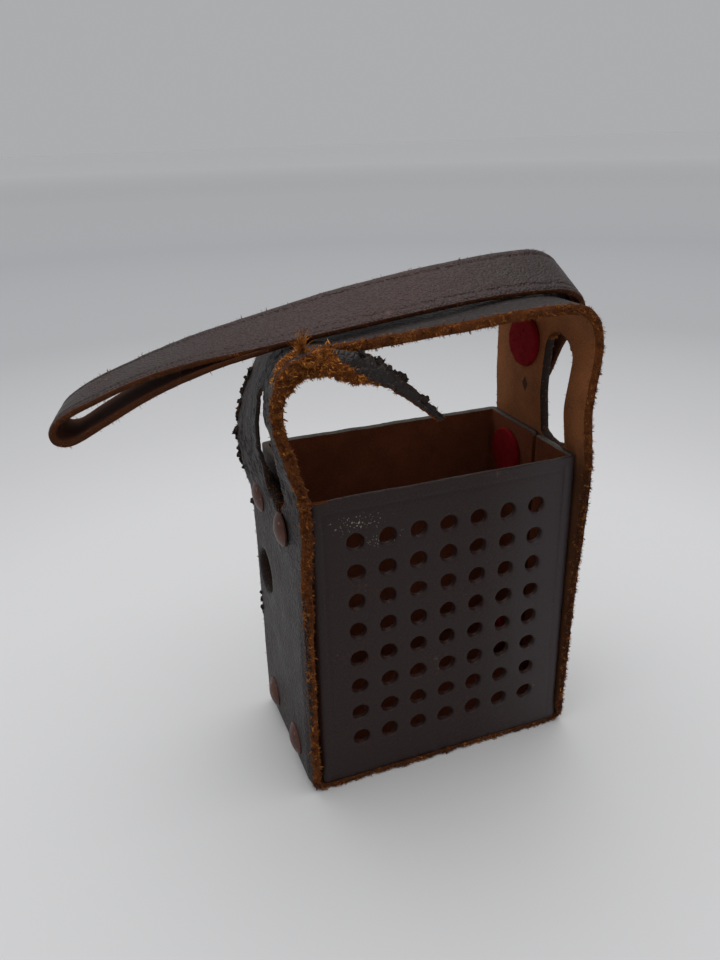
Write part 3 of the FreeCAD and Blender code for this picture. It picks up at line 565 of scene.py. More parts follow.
def makeFibreTree():
    # short tapering fibres that stand on a surface wherever the field says so
    tree, given = startTree("fibres on an edge", "Sheet", "Fibres", Density="Float", Length="Float",
                            Thickness="Float", Curl="Float", Lean="Float", Field="String", Clumps="Float",
                            Seed="Int", Material="Material")
    place = addNode(tree, "GeometryNodeInputPosition").outputs[0]
    clump = mapRange(tree, noiseAt(tree, place, given["Clumps"], 2), 0.36, 0.64, 0.15, 1.6)
    spread = scatter(tree, given, named(tree, given["Field"]), clump)
    stem = addNode(tree, "GeometryNodeCurveQuadraticBezier", {"Resolution": 2, "Start": (0, 0, -0.1),
                   "Middle": (0.05, 0, 0.55), "End": (0.45, 0.1, 1.0)}).outputs[0]
    profile = addNode(tree, "GeometryNodeCurvePrimitiveCircle", {"Resolution": 3, "Radius": 1.0}).outputs[0]
    along = addNode(tree, "GeometryNodeSplineParameter").outputs["Factor"]
    slender = maths(tree, "DIVIDE", given["Thickness"], given["Length"])
    radius = maths(tree, "MULTIPLY", mapRange(tree, along, toLow=1.0, toHigh=0.25), slender)
    fibre = addNode(tree, "GeometryNodeCurveToMesh", {"Curve": stem, "Profile Curve": profile,
                    "Scale": radius})
    leaned = vectors(tree, "SCALE", anyVector(tree, given, (-1, -1, -1), (1, 1, 1)), given["Lean"])
    aimed = vectors(tree, "ADD", spread["Normal"], leaned)
    turn = addNode(tree, "FunctionNodeAlignRotationToVector", {"Vector": aimed}, axis="Z")
    spin = addNode(tree, "FunctionNodeAxisAngleToRotation", {"Axis": (0, 0, 1),
                   "Angle": anyNumber(tree, given, 0.0, 6.283)})
    rotation = addNode(tree, "FunctionNodeRotateRotation", {"Rotation": turn.outputs[0],
                       "Rotate By": spin.outputs[0]}, rotation_space="LOCAL")
    size = maths(tree, "MULTIPLY", anyNumber(tree, given, 0.35, 1.25), clump)
    fibres = setOut(tree, spread["Points"], fibre.outputs[0], Rotation=rotation.outputs[0],
                    Scale=maths(tree, "MULTIPLY", size, given["Length"]))
    swirl = centred(tree, noiseAt(tree, place, 1700, 1, part="Color"))
    return endTree(tree, given, "Fibres", fibres, vectors(tree, "SCALE", swirl, given["Curl"]))


def makeCrumbTree():
    # flakes of cracked finish that cling to an edge wherever its crumbs attribute says so
    tree, given = startTree("crumbs on an edge", "Sheet", "Crumbs", Density="Float", Size="Float", Seed="Int",
                            Material="Material")
    place = addNode(tree, "GeometryNodeInputPosition").outputs[0]
    clump = mapRange(tree, noiseAt(tree, place, 260, 1), 0.45, 0.62, toHigh=2.2)
    spread = scatter(tree, given, named(tree, "crumbs"), clump)
    ball = addNode(tree, "GeometryNodeMeshIcoSphere", {"Radius": 1.0, "Subdivisions": 2})
    turn = anyVector(tree, given, (0, 0, 0), (6.3, 6.3, 6.3))
    squash = anyVector(tree, given, (0.3, 0.3, 0.2), (1.2, 1.0, 0.8))
    crumbs = setOut(tree, spread["Points"], ball.outputs[0], Rotation=turn,
                    Scale=vectors(tree, "SCALE", squash, given["Size"]))
    jag = maths(tree, "MULTIPLY", given["Size"], 1.7)
    swirl = centred(tree, noiseAt(tree, place, 2600, 1, part="Color"))
    return endTree(tree, given, "Crumbs", crumbs, vectors(tree, "SCALE", swirl, jag))


def grownMesh(name, source, tree, sizes):
    # what a node tree makes of a piece, as a new piece of plain mesh
    carrier = addObject(name + "Carrier", source.data)
    modifier = carrier.modifiers.new("grow", "NODES")
    modifier.node_group = tree
    for item in tree.interface.items_tree:
        if item.item_type == "SOCKET" and item.in_out == "INPUT" and item.name in sizes:
            modifier[item.identifier] = sizes[item.name]
    shown = carrier.evaluated_get(bpy.context.evaluated_depsgraph_get())
    mesh = bpy.data.meshes.new_from_object(shown)
    mesh.name = name
    bpy.data.objects.remove(carrier)
    return addObject(name, mesh)


fibreTree, crumbTree = makeFibreTree(), makeCrumbTree()


# ---- the pans

holes = {"columns": 7, "rows": 8, "across": 7.5, "down": 7.62, "radius": 1.95, "lip": 1.15, "lipDepth": 1.3,
         "topMargin": 10.8, "wander": 0.42, "gain": 2.6, "seed": 4}
pan = {"thick": 1.6, "round": 1.9, "corner": 2, "border": 3.1, "borderDepth": 0.2, "borderHalf": 0.7,
       "lip": 1.45, "flatten": 0.7}
earphone = {"y": 13.0, "z": 45.7, "radius": 6.0, "bandRadius": 5.75, "reach": 6.9}


def ringCell(us, vs, centre, radii):
    # A rectangle of grid lines with a round hole: rings of points from the hole to the border.
    # radii are (radius, depth) pairs from the hole outwards.
    edge = [(u, vs[0]) for u in us[:-1]] + [(us[-1], v) for v in vs[:-1]]
    edge += [(u, vs[-1]) for u in us[:0:-1]] + [(us[0], v) for v in vs[:0:-1]]
    count = len(edge)
    points, faces = [], []
    for radius, depth in radii:
        for u, v in edge:
            angle = math.atan2(v - centre[1], u - centre[0])
            points.append((centre[0] + radius * math.cos(angle), centre[1] + radius * math.sin(angle), depth))
    points += [(u, v, 0.0) for u, v in edge]
    for ring in range(len(radii)):
        for k in range(count):
            a, b = ring * count + k, ring * count + (k + 1) % count
            faces.append((a, a + count, b + count, b))
    return points, faces


def soundHoleField():
    # the sound holes, one cell repeated over a grid and merged into a single sheet
    steps = 8
    us = np.linspace(-holes["across"] / 2, holes["across"] / 2, steps + 1)
    vs = np.linspace(-holes["down"] / 2, holes["down"] / 2, steps + 1)
    # the punch leaves a steep wall below a rounded lip
    slope = [(0.0, 1.0), (0.03, 0.7), (0.07, 0.42), (0.13, 0.2), (0.24, 0.08), (0.45, 0.02), (1.0, 0.0)]
    radii = [(holes["radius"] + holes["lip"] * share, holes["lipDepth"] * fall) for share, fall in slope]
    points, faces = ringCell(us, vs, (0, 0), radii)
    pull = [1 - ease(math.hypot(u, v), 2.4, 3.6) for u, v, depth in points]
    cell = makePiece("soundHoleCell", np.array(points), faces, [], [0] * len(faces), {"pull": pull})
    tree, given = startTree("grid of sound holes", "Cell", "Field", Columns="Int", Rows="Int", Width="Float",
                            Height="Float", Wander="Float", Seed="Float", Material="Material")
    grid = addNode(tree, "GeometryNodeMeshGrid", {"Size X": given["Width"], "Size Y": given["Height"],
                   "Vertices X": given["Columns"], "Vertices Y": given["Rows"]})
    cells = setOut(tree, grid.outputs[0], given["Cell"])
    joined = addNode(tree, "GeometryNodeMergeByDistance", {"Geometry": cells, "Distance": 0.01 * mm})
    place = addNode(tree, "GeometryNodeInputPosition").outputs[0]
    swirl = addNode(tree, "ShaderNodeTexNoise", {"Vector": place, "W": given["Seed"], "Scale": 210,
                    "Detail": 1}, noise_dimensions="4D").outputs["Color"]
    flat = vectors(tree, "MULTIPLY", centred(tree, swirl), (1, 1, 0))
    amount = maths(tree, "MULTIPLY", named(tree, "pull"), given["Wander"])
    endTree(tree, given, "Field", joined.outputs[0], vectors(tree, "SCALE", flat, amount))
    field = grownMesh("soundHoleField", cell, tree, {
        "Columns": holes["columns"], "Rows": holes["rows"],
        "Width": holes["across"] * (holes["columns"] - 1) * mm,
        "Height": holes["down"] * (holes["rows"] - 1) * mm, "Wander": holes["wander"] * holes["gain"] * mm,
        "Seed": float(holes["seed"]), "Material": panLeather})
    found = np.array([v.co for v in field.data.vertices]) / mm
    quads = [tuple(p.vertices) for p in field.data.polygons]
    bpy.data.objects.remove(field)
    bpy.data.objects.remove(cell)
    return found, quads, us, vs


class PanSheet:
    # the faces of a pan as a sharp box, gathered patch by patch and welded where they meet
    def __init__(self):
        self.points, self.depths, self.faces, self.known = [], [], [], {}

    def point(self, place, depth):
        key = tuple(int(round(c * 2000)) for c in place)
        if key not in self.known:
            self.known[key] = len(self.points)
            self.points.append(place)
            self.depths.append(depth)
        return self.known[key]

    def patch(self, points, faces, outward):
        # points are (x, y, z, depth); faces turn to look outward
        ids = [self.point(np.array(p[:3], float), p[3]) for p in points]
        for face in faces:
            if looksAway(points, face, outward):
                face = tuple(reversed(face))
            corners = tuple(ids[i] for i in face)
            if len(set(corners)) == len(corners):
                self.faces.append(corners)


def gridPatch(us, vs, skip=None):
    points, faces, index = [], [], {}
    for j, v in enumerate(vs):
        for i, u in enumerate(us):
            index[i, j] = len(points)
            points.append((u, v))
    for j in range(len(vs) - 1):
        for i in range(len(us) - 1):
            if skip and skip[0] <= i < skip[1] and skip[2] <= j < skip[3]:
                continue
            faces.append((index[i, j], index[i + 1, j], index[i + 1, j + 1], index[i, j + 1]))
    return points, faces


def steppedLine(*runs):
    # (start, end, count) runs joined into one list of grid lines
    line = [runs[0][0]]
    for start, end, count in runs:
        line += list(np.linspace(start, end, count + 1)[1:])
    return line


def makePan(name, low, high, side):
    # side is -1 for the front pan and 1 for the back pan, whose rim opens to the other side
    face = low[1] if side < 0 else high[1]
    rim = high[1] if side < 0 else low[1]
    left, right, floor, top = low[0], high[0], low[2], high[2]
    sheet = PanSheet()
    groove, half = pan["border"], pan["borderHalf"]
    corner, reach = pan["corner"], earphone["reach"]

    def edgeRuns(a, b, s):
        # grid lines from an edge to the sound holes, finest at the pressed border
        start, middle, end = (a + s * (groove + shift) for shift in (-half, 0, half))
        return [(a, start, 5), (start, middle, 2), (middle, end, 2), (end, b, 4)]

    def grooveDepth(x, z):
        near = min(abs(x - left - groove), abs(right - groove - x), abs(top - groove - z))
        inside = left + groove - half <= x <= right - groove + half and z <= top - groove + half
        return pan["borderDepth"] * (1 - min(near / half, 1)) ** 1.5 if inside and near < half else 0.0

    outward = np.array([0, side, 0])
    if side < 0:
        field, quads, us, vs = soundHoleField()
        middleZ = top - holes["topMargin"] - holes["down"] * (holes["rows"] - 1) / 2
        sheet.patch([(x, face, z + middleZ, d) for x, z, d in field], quads, outward)
        xs = [u + holes["across"] * c - holes["across"] * (holes["columns"] - 1) / 2
              for c in range(holes["columns"]) for u in us[:-1]] + [holes["across"] * holes["columns"] / 2]
        zs = [v + holes["down"] * r + middleZ - holes["down"] * (holes["rows"] - 1) / 2
              for r in range(holes["rows"]) for v in vs[:-1]] + [middleZ + holes["down"] * holes["rows"] / 2]
        xLine = steppedLine(*edgeRuns(left, xs[0], 1)) + xs[1:-1]
        xLine += steppedLine(*edgeRuns(right, xs[-1], -1))[::-1]
        zLine = steppedLine((floor, floor + corner, 6), (floor + corner, zs[0], 4)) + zs[1:-1]
        zLine += steppedLine(*edgeRuns(top, zs[-1], -1))[::-1]
        skip = [int(np.argmin(np.abs(np.array(line) - wanted)))
                for line, wanted in ((xLine, xs[0]), (xLine, xs[-1]), (zLine, zs[0]), (zLine, zs[-1]))]
    else:
        xLine = steppedLine((left, left + corner, 6), (left + corner, right - corner, 60),
                            (right - corner, right, 6))
        zLine = steppedLine((floor, floor + corner, 6), (floor + corner, earphone["z"] - reach, 34),
                            (earphone["z"] - reach, earphone["z"] + reach, 12),
                            (earphone["z"] + reach, top, 24))
        skip = None
    points, faces = gridPatch(xLine, zLine, skip)
    sheet.patch([(x, face, z, grooveDepth(x, z) if side < 0 else 0.0) for x, z in points], faces, outward)
    depthLine = floorLine = steppedLine((face, face - side * corner, 6), (face - side * corner, rim, 14))
    for x, sign in ((left, -1), (right, 1)):
        if side > 0 and sign < 0:
            depthLine = steppedLine((rim, earphone["y"] - reach, 6),
                                    (earphone["y"] - reach, earphone["y"] + reach, 12),
                                    (earphone["y"] + reach, face, 4))
            # the earphone hole takes 12 by 12 cells, after 6 lines in y and 40 in z
            yFirst, zFirst, cells = 6, 40, 12
            ring, ringFaces = ringCell(depthLine[yFirst:yFirst + cells + 1], zLine[zFirst:zFirst + cells + 1],
                                       (earphone["y"], earphone["z"]),
                                       [(earphone["radius"], 0.0), (earphone["radius"] + 0.4, 0.0)])
            sheet.patch([(x, y, z, 0.0) for y, z, d in ring], ringFaces, np.array([sign, 0, 0]))
            points, faces = gridPatch(depthLine, zLine, (yFirst, yFirst + cells, zFirst, zFirst + cells))
        else:
            points, faces = gridPatch(depthLine, zLine)
        sheet.patch([(x, y, z, 0.0) for y, z in points], faces, np.array([sign, 0, 0]))
    points, faces = gridPatch(xLine, floorLine)
    sheet.patch([(x, y, floor, 0.0) for x, y in points], faces, np.array([0, 0, -1]))
    # round the sharp box's edges by drawing its points in to a smaller box
    sharp = np.array(sheet.points)
    radius = pan["round"]
    core = sharp.copy()
    core[:, 0] = np.clip(core[:, 0], left + radius, right - radius)
    core[:, 2] = np.maximum(core[:, 2], floor + radius)
    core[:, 1] = np.maximum(core[:, 1], face + radius) if side < 0 else np.minimum(core[:, 1], face - radius)
    normals = sharp - core
    normals /= np.linalg.norm(normals, axis=1, keepdims=True)
    soft = 0.1 * wander(sharp, 17.0, 2.0 + side) + 0.04 * wander(sharp, 5.0, 9.0)
    # the rim and the rivet lines stay true
    soft *= ease(np.abs(sharp[:, 1] - rim), 0, 8)
    outer = core + normals * (radius - np.array(sheet.depths) + soft)[:, None]
    inner = core + normals * (radius - pan["thick"])
    # the face's lower lip is drawn down over the band's skived edge
    if side < 0:
        lip = (1 - ease(sharp[:, 1] - face, 0.9, 2.6)) * (1 - ease(sharp[:, 2] - floor, 0, 5))
        outer[:, 2] -= pan["lip"] * lip
        inner[:, 2] -= pan["lip"] * lip
        outer[:, 1] -= pan["flatten"] * (outer[:, 1] - face) * lip * (outer[:, 1] < face + radius)
    atTop = sharp[:, 2] > top - 0.01
    lift = 0.22 * wander(sharp * (1, 1, 0), 9.0, 5.0) + 0.1 * wander(sharp * (1, 1, 0), 1.6, 6.0)
    outer[atTop, 2] += lift[atTop] - 0.1
    inner[atTop, 2] += lift[atTop] - 0.25

    def rimOf(point):
        if point[2] > top - 1:
            return (2, 0.4) if side < 0 and point[0] < left + 5 else (3, 0.06)
        onFace = abs(point[1] - face) < 1.5 and side < 0 and point[2] < top - 5
        return (4, 0.05) if onFace else (2, 0.25)

    return leatherShell(name, outer, inner, sheet.faces,
                        sheetOf(panLeather, "panFlesh", "rawEdge", "dryEdge", "holeEdge"), rimOf, rimRows=4,
                        bulge=0.1, ragged=0.09, wearWidth=1.0,
                        wrap=lambda point: 2 if point[2] > top - 1 and point[0] > left + 5 else 0)


frontPan = makePan("frontPan", frontLow, frontHigh, -1)
backPan = makePan("backPan", backLow, backHigh, 1)
print("pans made", len(frontPan.data.polygons), len(backPan.data.polygons))


# ---- the carrying band

band = {"thick": 2.2, "rowStep": 0.46, "frontColumns": 15, "backColumns": 32,
        "rightSlot": (-6.9, 5.2, 76.5, 103.4), "leftSlot": (-4.6, 6.5, 72.6, 99.0), "crack": 6.0,
        "tear": 4.5, "baseBack": 2.6, "sag": 0.95, "fold": 0.34, "rest": 0.8, "skive": 1.05, "pinch": 1.25}
# a slot is its middle in y, its half width, its foot and its top; the outline below is x and z at the
# front edge, then x and z at the back edge
bandRows = [
    (-32.8, 0, -32.8, 0), (-16, 0, -16, 0), (0, 0, 0, 0), (16, 0, 16, 0), (32, 0, 32, 0),
    (34.26, 0.94, 34.26, 0.94), (35.2, 3.2, 35.2, 3.2), (35.2, 20, 35.2, 20), (35.1, 40, 35.2, 40),
    (35.2, 60, 35.2, 60), (35.1, 74, 35.15, 74), (34.2, 81.5, 34.95, 81), (33.5, 87.5, 34.6, 88),
    (33.8, 93, 34.6, 94), (34.6, 99.5, 34.6, 100), (34.5, 104.6, 34.6, 106.2), (32.9, 109.2, 32.9, 110.4),
    (29.2, 112.3, 28.6, 112.2), (20, 113.1, 20, 112.2), (9, 112.7, 9, 111.8), (-3, 111.7, -3, 110.8),
    (-14, 110.6, -14, 109.5), (-24, 109.6, -22, 108.3), (-30.2, 109.4, -26.5, 106.9),
    (-34.3, 108.3, -29.3, 104.3), (-37.4, 106.0, -31.5, 100.9), (-39.1, 102.5, -33.0, 97.3),
    (-39.9, 98.4, -34.9, 93.6),
    (-39.4, 94.4, -36.6, 89.4), (-38.2, 90, -37.9, 85.6), (-36.9, 84.8, -38.6, 81), (-35.8, 80, -38.5, 76.4),
    (-35.1, 75, -37.5, 71.5), (-35.1, 70, -36.5, 67), (-35.6, 62, -36.0, 61), (-36, 45, -36, 45),
    (-36, 25, -36, 25), (-36, 3.2, -36, 3.2), (-35.06, 0.94, -35.06, 0.94),
]


def cutEarphoneHole(faces, grain, back, onWall, ys):
    # a block of cells of the left wall gives way to rings of faces that lead down into the hole
    firstRow, lastRow = onWall[0], onWall[-1]
    columnCount = ys.shape[1]
    hits = [c for c in range(band["frontColumns"] + 1, columnCount)
            if abs(ys[firstRow, c] - earphone["y"]) < earphone["reach"] + 0.4]
    firstColumn, lastColumn = hits[0], hits[-1]
    block = {(i, c) for i in range(firstRow, lastRow) for c in range(firstColumn, lastColumn)}
    others = [f for f in faces if (min(f) // columnCount, min(f) % columnCount) not in block]
    loop = [(firstRow, c) for c in range(firstColumn, lastColumn)]
    loop += [(i, lastColumn) for i in range(firstRow, lastRow)]
    loop += [(lastRow, c) for c in range(lastColumn, firstColumn, -1)]
    loop += [(i, firstColumn) for i in range(lastRow, firstRow, -1)]
    previous = rim = [i * columnCount + c for i, c in loop]
    front, behind, holeFaces = [], [], []
    # each ring's radius beyond the hole's, and how far it dips below the grain
    for beyond, dip in ((0.7, 0.06), (0.25, 0.22), (0.0, 0.5)):
        current = []
        for index in rim:
            angle = math.atan2(grain[index, 2] - earphone["z"], grain[index, 1] - earphone["y"])
            jag = 0.12 * noise.noise(Vector((math.cos(angle) * 2, math.sin(angle) * 2, 4)))
            radius = earphone["bandRadius"] + beyond + jag
            y, z = earphone["y"] + radius * math.cos(angle), earphone["z"] + radius * math.sin(angle)
            current.append(len(grain) + len(front))
            front.append((grain[index, 0] + dip, y, z))
            behind.append((back[index, 0], y, z))
        for k in range(len(rim)):
            n = (k + 1) % len(rim)
            holeFaces.append((previous[k], previous[n], current[n], current[k]))
        previous = current
    return others, holeFaces, np.vstack([grain, front]), np.vstack([back, behind])


def makeBand():
    rows = smoothLine(bandRows, band["rowStep"] * rowStretch, closed=True)
    count = len(rows)
    yFront, yBack = bandLow[1], bandHigh[1]
    width = yBack - yFront

    def lines(y):
        share = ((y - yFront) / width)[:, None]
        plane = rows[:, :2] * (1 - share) + rows[:, 2:] * share
        return np.stack([plane[:, 0], y, plane[:, 1]], axis=1)

    half = np.zeros(count)
    x, z = rows[:, 0], rows[:, 1]
    rightY, rightHalf, rightLow, rightHigh = band["rightSlot"]
    leftY, leftHalf, leftLow, leftHigh = band["leftSlot"]
    centre = rightY + (leftY - rightY) * ease(-x, -30, 30)
    middle = lines(centre)
    mz = middle[:, 2]
    onRight = (middle[:, 0] > 25) & (mz > rightLow) & (mz < rightHigh)
    crown = rightHigh - rightHalf
    half[onRight] = np.sqrt(np.maximum(rightHalf**2 - np.maximum(mz[onRight] - crown, 0) ** 2, 0))
    half[onRight] *= 0.55 + 0.45 * ease(mz[onRight], rightLow, rightLow + 1.5)
    # towards its top the right slot has stretched forwards
    spread = (0.45 * ease(mz, 84, 95) * (1 - ease(mz, 97, 103.4)))[onRight]
    half[onRight] += spread
    centre[onRight] -= spread
    # the left slot has torn down from its bottom and stretched wide
    crack = leftLow - band["crack"]
    onLeft = (middle[:, 0] < -20) & (mz > crack) & (mz < leftHigh)
    crown = leftHigh - leftHalf
    wide = np.sqrt(np.maximum(leftHalf**2 - np.maximum(mz - crown, 0) ** 2, 0))
    wide *= 0.22 + 0.78 * ease(mz, leftLow - 2.5, leftLow + 2.5)
    half[onLeft] = (wide * ease(mz, crack, crack + 1.2))[onLeft]
    wavy = wander(middle, 6.0, 1.0) * 0.5 + wander(middle, 1.7, 4.0) * 0.2
    centre[onLeft] += wavy[onLeft] * 0.8
    half[half < 0.08] = 0

    # the front edge is ragged, and cut back where the sliver tore off the bridge
    frontY = np.full(count, yFront)
    frontY += 0.18 * wander(np.stack([x, np.zeros(count), z], axis=1), 2.2, 8.0)
    frontY += band["baseBack"] * (1 - np.clip((z - 15) / 73, 0, 1)) + 0.55 * (1 - ease(z, 1.5, 5))
    frontY += band["tear"] * (1 - np.clip((x + 29.5) / 29.5, 0, 1)) * ease(x, -31.5, -27) * (z > 105)
    backY = np.full(count, yBack) + 0.15 * wander(np.stack([x, np.zeros(count), z], axis=1), 3.0, 12.0)

    columns = []
    for k in range(band["frontColumns"] + 1):
        share = k / band["frontColumns"]
        columns.append(frontY + (centre - half - frontY) * share)
    for k in range(band["backColumns"] + 1):
        share = k / band["backColumns"]
        columns.append(centre + half + (backY - centre - half) * share)
    ys = np.stack(columns, axis=1)
    columnCount = ys.shape[1]
    grid = np.stack([lines(column) for column in columns], axis=1)
    # normals of the ruled surface, by its rows and its two edges
    across = np.stack([rows[:, 2] - rows[:, 0], np.full(count, width), rows[:, 3] - rows[:, 1]], axis=1)
    along = np.roll(grid, -1, axis=0) - np.roll(grid, 1, axis=0)
    along[..., 1] = 0
    normals = np.cross(along, across[:, None])
    normals /= np.linalg.norm(normals, axis=2, keepdims=True)
    if normals[0, 5, 2] > 0:
        normals *= -1

    flat, direction = grid.reshape(-1, 3), normals.reshape(-1, 3)
    xs, yy, zs = flat.T
    push = 0.08 * wander(flat, 9.0, 3.0) * (1 - (1 - ease(zs, 0.5, 3)) * 0.8)
    # the bridge sags under the strap, though its front edge stays up
    onBridge = ease(zs, 104, 107) * (xs < 30)
    sag = ease(xs, -34, -24) * (1 - ease(xs, 0, 22)) * ease(yy, -16.5, -11.5) * (1 - ease(yy, 7, 19))
    push -= band["sag"] * onBridge * sag
    # creases round the torn slot and up the stretched left side
    left = ease(-xs, 28, 33) * ease(zs, 62, 74)
    stretch = np.stack([xs / 2.0, yy / 1.1, zs / 5.0], axis=1)
    fold = 1 - np.abs(wander(stretch, 1.6, 5.0)) * 2
    folds = band["fold"] * (np.maximum(fold, 0) ** 3) * (1 - 0.7 * ease(zs, 80, 90) * ease(yy, 0, 6))
    push += left * (folds - 0.05 + 0.4 * wander(flat, 6.0, 15.0) * ease(zs, 70, 80))
    crumple = (xs < -30) * ease(zs, 40, 66) * (1 - ease(zs, 84, 96))
    push += crumple * (0.16 * np.abs(wander(flat, 2.2, 33.0)) + 0.1 * wander(flat, 1.1, 35.0))
    # the front edge is worn thin along the base and lies close to the pan on the left
    fromFront = yy - np.repeat(frontY, columnCount)
    low = 1 - ease(zs, 1.5, 26) * (0.42 + 0.58 * ease(zs, 36, 66))
    thin = (0.35 + 0.65 * ease(zs, 1, 8)) * low * (1 - ease(fromFront, 0, 2.6))
    grain = flat + direction * (push - thin)[:, None]
    grain[:, 2] = np.maximum(grain[:, 2], 0.03)
    thick = band["thick"] - thin
    thick += (0.1 + 0.2 * ease(zs, 94, 101)) * ease(-xs, 34, 37) * ease(zs, 76, 84) * (1 - ease(yy, -19, -15))
    # the left wall is drawn in until it rests on the pans
    onPans = (xs < -33) * ease(zs, 2, 6) * (1 - ease(zs, 74, 80))
    thick += band["rest"] * onPans * (0.35 + 0.65 * ease(fromFront, 0.5, 3))
    thick -= band["skive"] * (1 - ease(zs, 1.0, 3.0)) * (1 - ease(fromFront, 1.2, 3.2))
    # the rear strip of the torn slot is pinched thin along the slot
    slotGap = yy - np.repeat(centre + half, columnCount)
    besideSlot = (np.repeat(half, columnCount) > 0) * (xs < -25) * (slotGap > -0.01)
    stretched = ease(zs, 74, 81) * (1 - ease(zs, 95, 101))
    thick -= band["pinch"] * besideSlot * (stretched + (1 - stretched) * (1 - ease(slotGap, 0.3, 3)))
    back = grain - direction * thick[:, None]

    def idOf(i, c):
        i %= count
        if half[i] == 0 and c == band["frontColumns"] + 1:
            c = band["frontColumns"]
        return i * columnCount + c

    faces = []
    for i in range(count):
        for c in range(columnCount - 1):
            if c == band["frontColumns"]:
                continue
            corners = [idOf(i, c), idOf(i + 1, c), idOf(i + 1, c + 1), idOf(i, c + 1)]
            if len(set(corners)) > 2:
                faces.append(tuple(dict.fromkeys(corners)))
    onWall = [i for i in range(count) if x[i] < -30 and abs(z[i] - earphone["z"]) < earphone["reach"] + 0.6]
    faces, holeFaces, grain, back = cutEarphoneHole(faces, grain, back, onWall, ys)
    # the hole's faces and the others are turned to look outward
    if looksAway(grain, holeFaces[0], (-1, 0, 0)):
        holeFaces = turnedOver(holeFaces)
    if looksAway(grain, faces[10], direction[faces[10][0]]):
        faces = turnedOver(faces)
    faces += holeFaces
    keep = sorted({p for f in faces for p in f})
    renumber = {p: k for k, p in enumerate(keep)}
    faces = [tuple(renumber[p] for p in f) for f in faces]

    def rimOf(point):
        px, py, pz = point
        if math.hypot(py - earphone["y"], pz - earphone["z"]) < 7 and px < 0:
            return 3, 0.03
        if py < yFront + 3.6 or (px < 1 and pz > 104 and py < yFront + 5.6):
            torn = float(ease(-px, 15, 30) * ease(pz, 74, 84))
            corner = float(ease(-px, 20, 30) * ease(pz, 100, 106))
            base = 0.7 if px < 0 and not 19 < pz < 50 else 0.5
            return 2, min(1.0, base + 0.3 * torn + 0.3 * corner)
        if py > yBack - 1.2:
            return 2, 0.4 if px < -25 and pz > 70 else 0.22
        if px < 0 and pz < 78:
            return (2, 0.4) if py < leftY - 1 else (3, 0.25)
        return (2, 0.5) if pz > rightHigh - 2.5 and px > 0 else (3, 0.04)

    slotRows = np.where(onLeft & (half > 0))[0]
    slotRows = slotRows[np.argsort(mz[slotRows])]
    slotEdge = (centre + half)[slotRows]

    # painted shade: the flesh darkens in the gap beside the front pan's right side and along the foot of the
    # front edge where it meets the floor
    def paintedShading(points):
        px, py, pz = points.T
        shadeBesidePan = 0.72 * (px > 30) * (1 - ease(pz, 70, 84)) * (py < -13)
        base = 0.6 * (1 - ease(pz, 1.5, 5)) * (py < -13)
        return np.maximum(shadeBesidePan, base)

    # painted shade: the flesh beside the torn left slot, seen into the case, takes the dark edge colour
    def paintedShadeFaces(points):
        px, py, pz = points.T
        gap = py - np.interp(pz, mz[slotRows], slotEdge)
        return (px < -26) * (pz > crack - 2) * (pz < leftHigh + 1) * (gap > -1.5) * (gap < 3.6) * 1.0

    def wrapOf(point):
        px, py, pz = point
        atFront = py < yFront + 3.6
        cover = 3.0 * float(ease(pz, 16, 24) * (1 - ease(pz, 50, 58))) if atFront and px < 0 else 0.6
        if py > yBack - 1.2:
            cover = 2.0
        return int(cover + 0.9 * noise.noise(Vector(point) / 1.3) + 0.5) if pz < 100 else 0

    return leatherShell("carryingBand", grain[keep], back[keep], faces,
                        sheetOf(bandLeather, "flesh", "rawEdge", "darkEdge"), rimOf, rimRows=6, bulge=0.3,
                        ragged=0.42, wearWidth=1.4, crumbly=flaking, wrap=wrapOf, paintedShadeFaces=paintedShadeFaces,
                        paintedShading=paintedShading)


def flaking(points):
    # the stretched left strip sheds its finish along the rear edge
    x, y, z = np.asarray(points).T
    strip = (y > 18) * ease(z, 68, 78) * (1 - ease(z, 94, 100))
    return (x < -30) * (strip + 0.07 * (y > 19) * (z < 68))


carryBand = makeBand()
print("band made", len(carryBand.data.polygons))


# ---- the torn sliver that hangs from the bridge's left corner

tongue = {"thick": 1.7, "columns": 12, "step": 0.45}
# lower edge and upper edge of its grain face: x, y, z of each
tongueRows = [
    (-36.2, -19.6, 101.6, -38.3, -18.4, 104.4), (-34.6, -20.0, 103.8, -36.3, -18.0, 107.4),
    (-32.8, -20.3, 105.3, -33.6, -17.6, 109.2), (-30.2, -20.4, 105.5, -29.6, -17.6, 109.4),
    (-27.2, -20.5, 104.8, -25.6, -18.4, 109.0), (-23.8, -20.6, 103.2, -21.0, -19.4, 108.0),
    (-20.2, -20.6, 102.5, -17.4, -20.0, 106.2), (-16.2, -20.5, 100.8, -14.0, -20.2, 103.3),
    (-12.2, -20.4, 98.2, -10.5, -20.2, 99.9), (-8.2, -20.3, 95.1, -7.0, -20.1, 96.3),
    (-4.9, -20.2, 92.3, -4.0, -20.1, 93.2), (-3.8, -20.2, 91.6, -3.1, -20.1, 92.3),
]


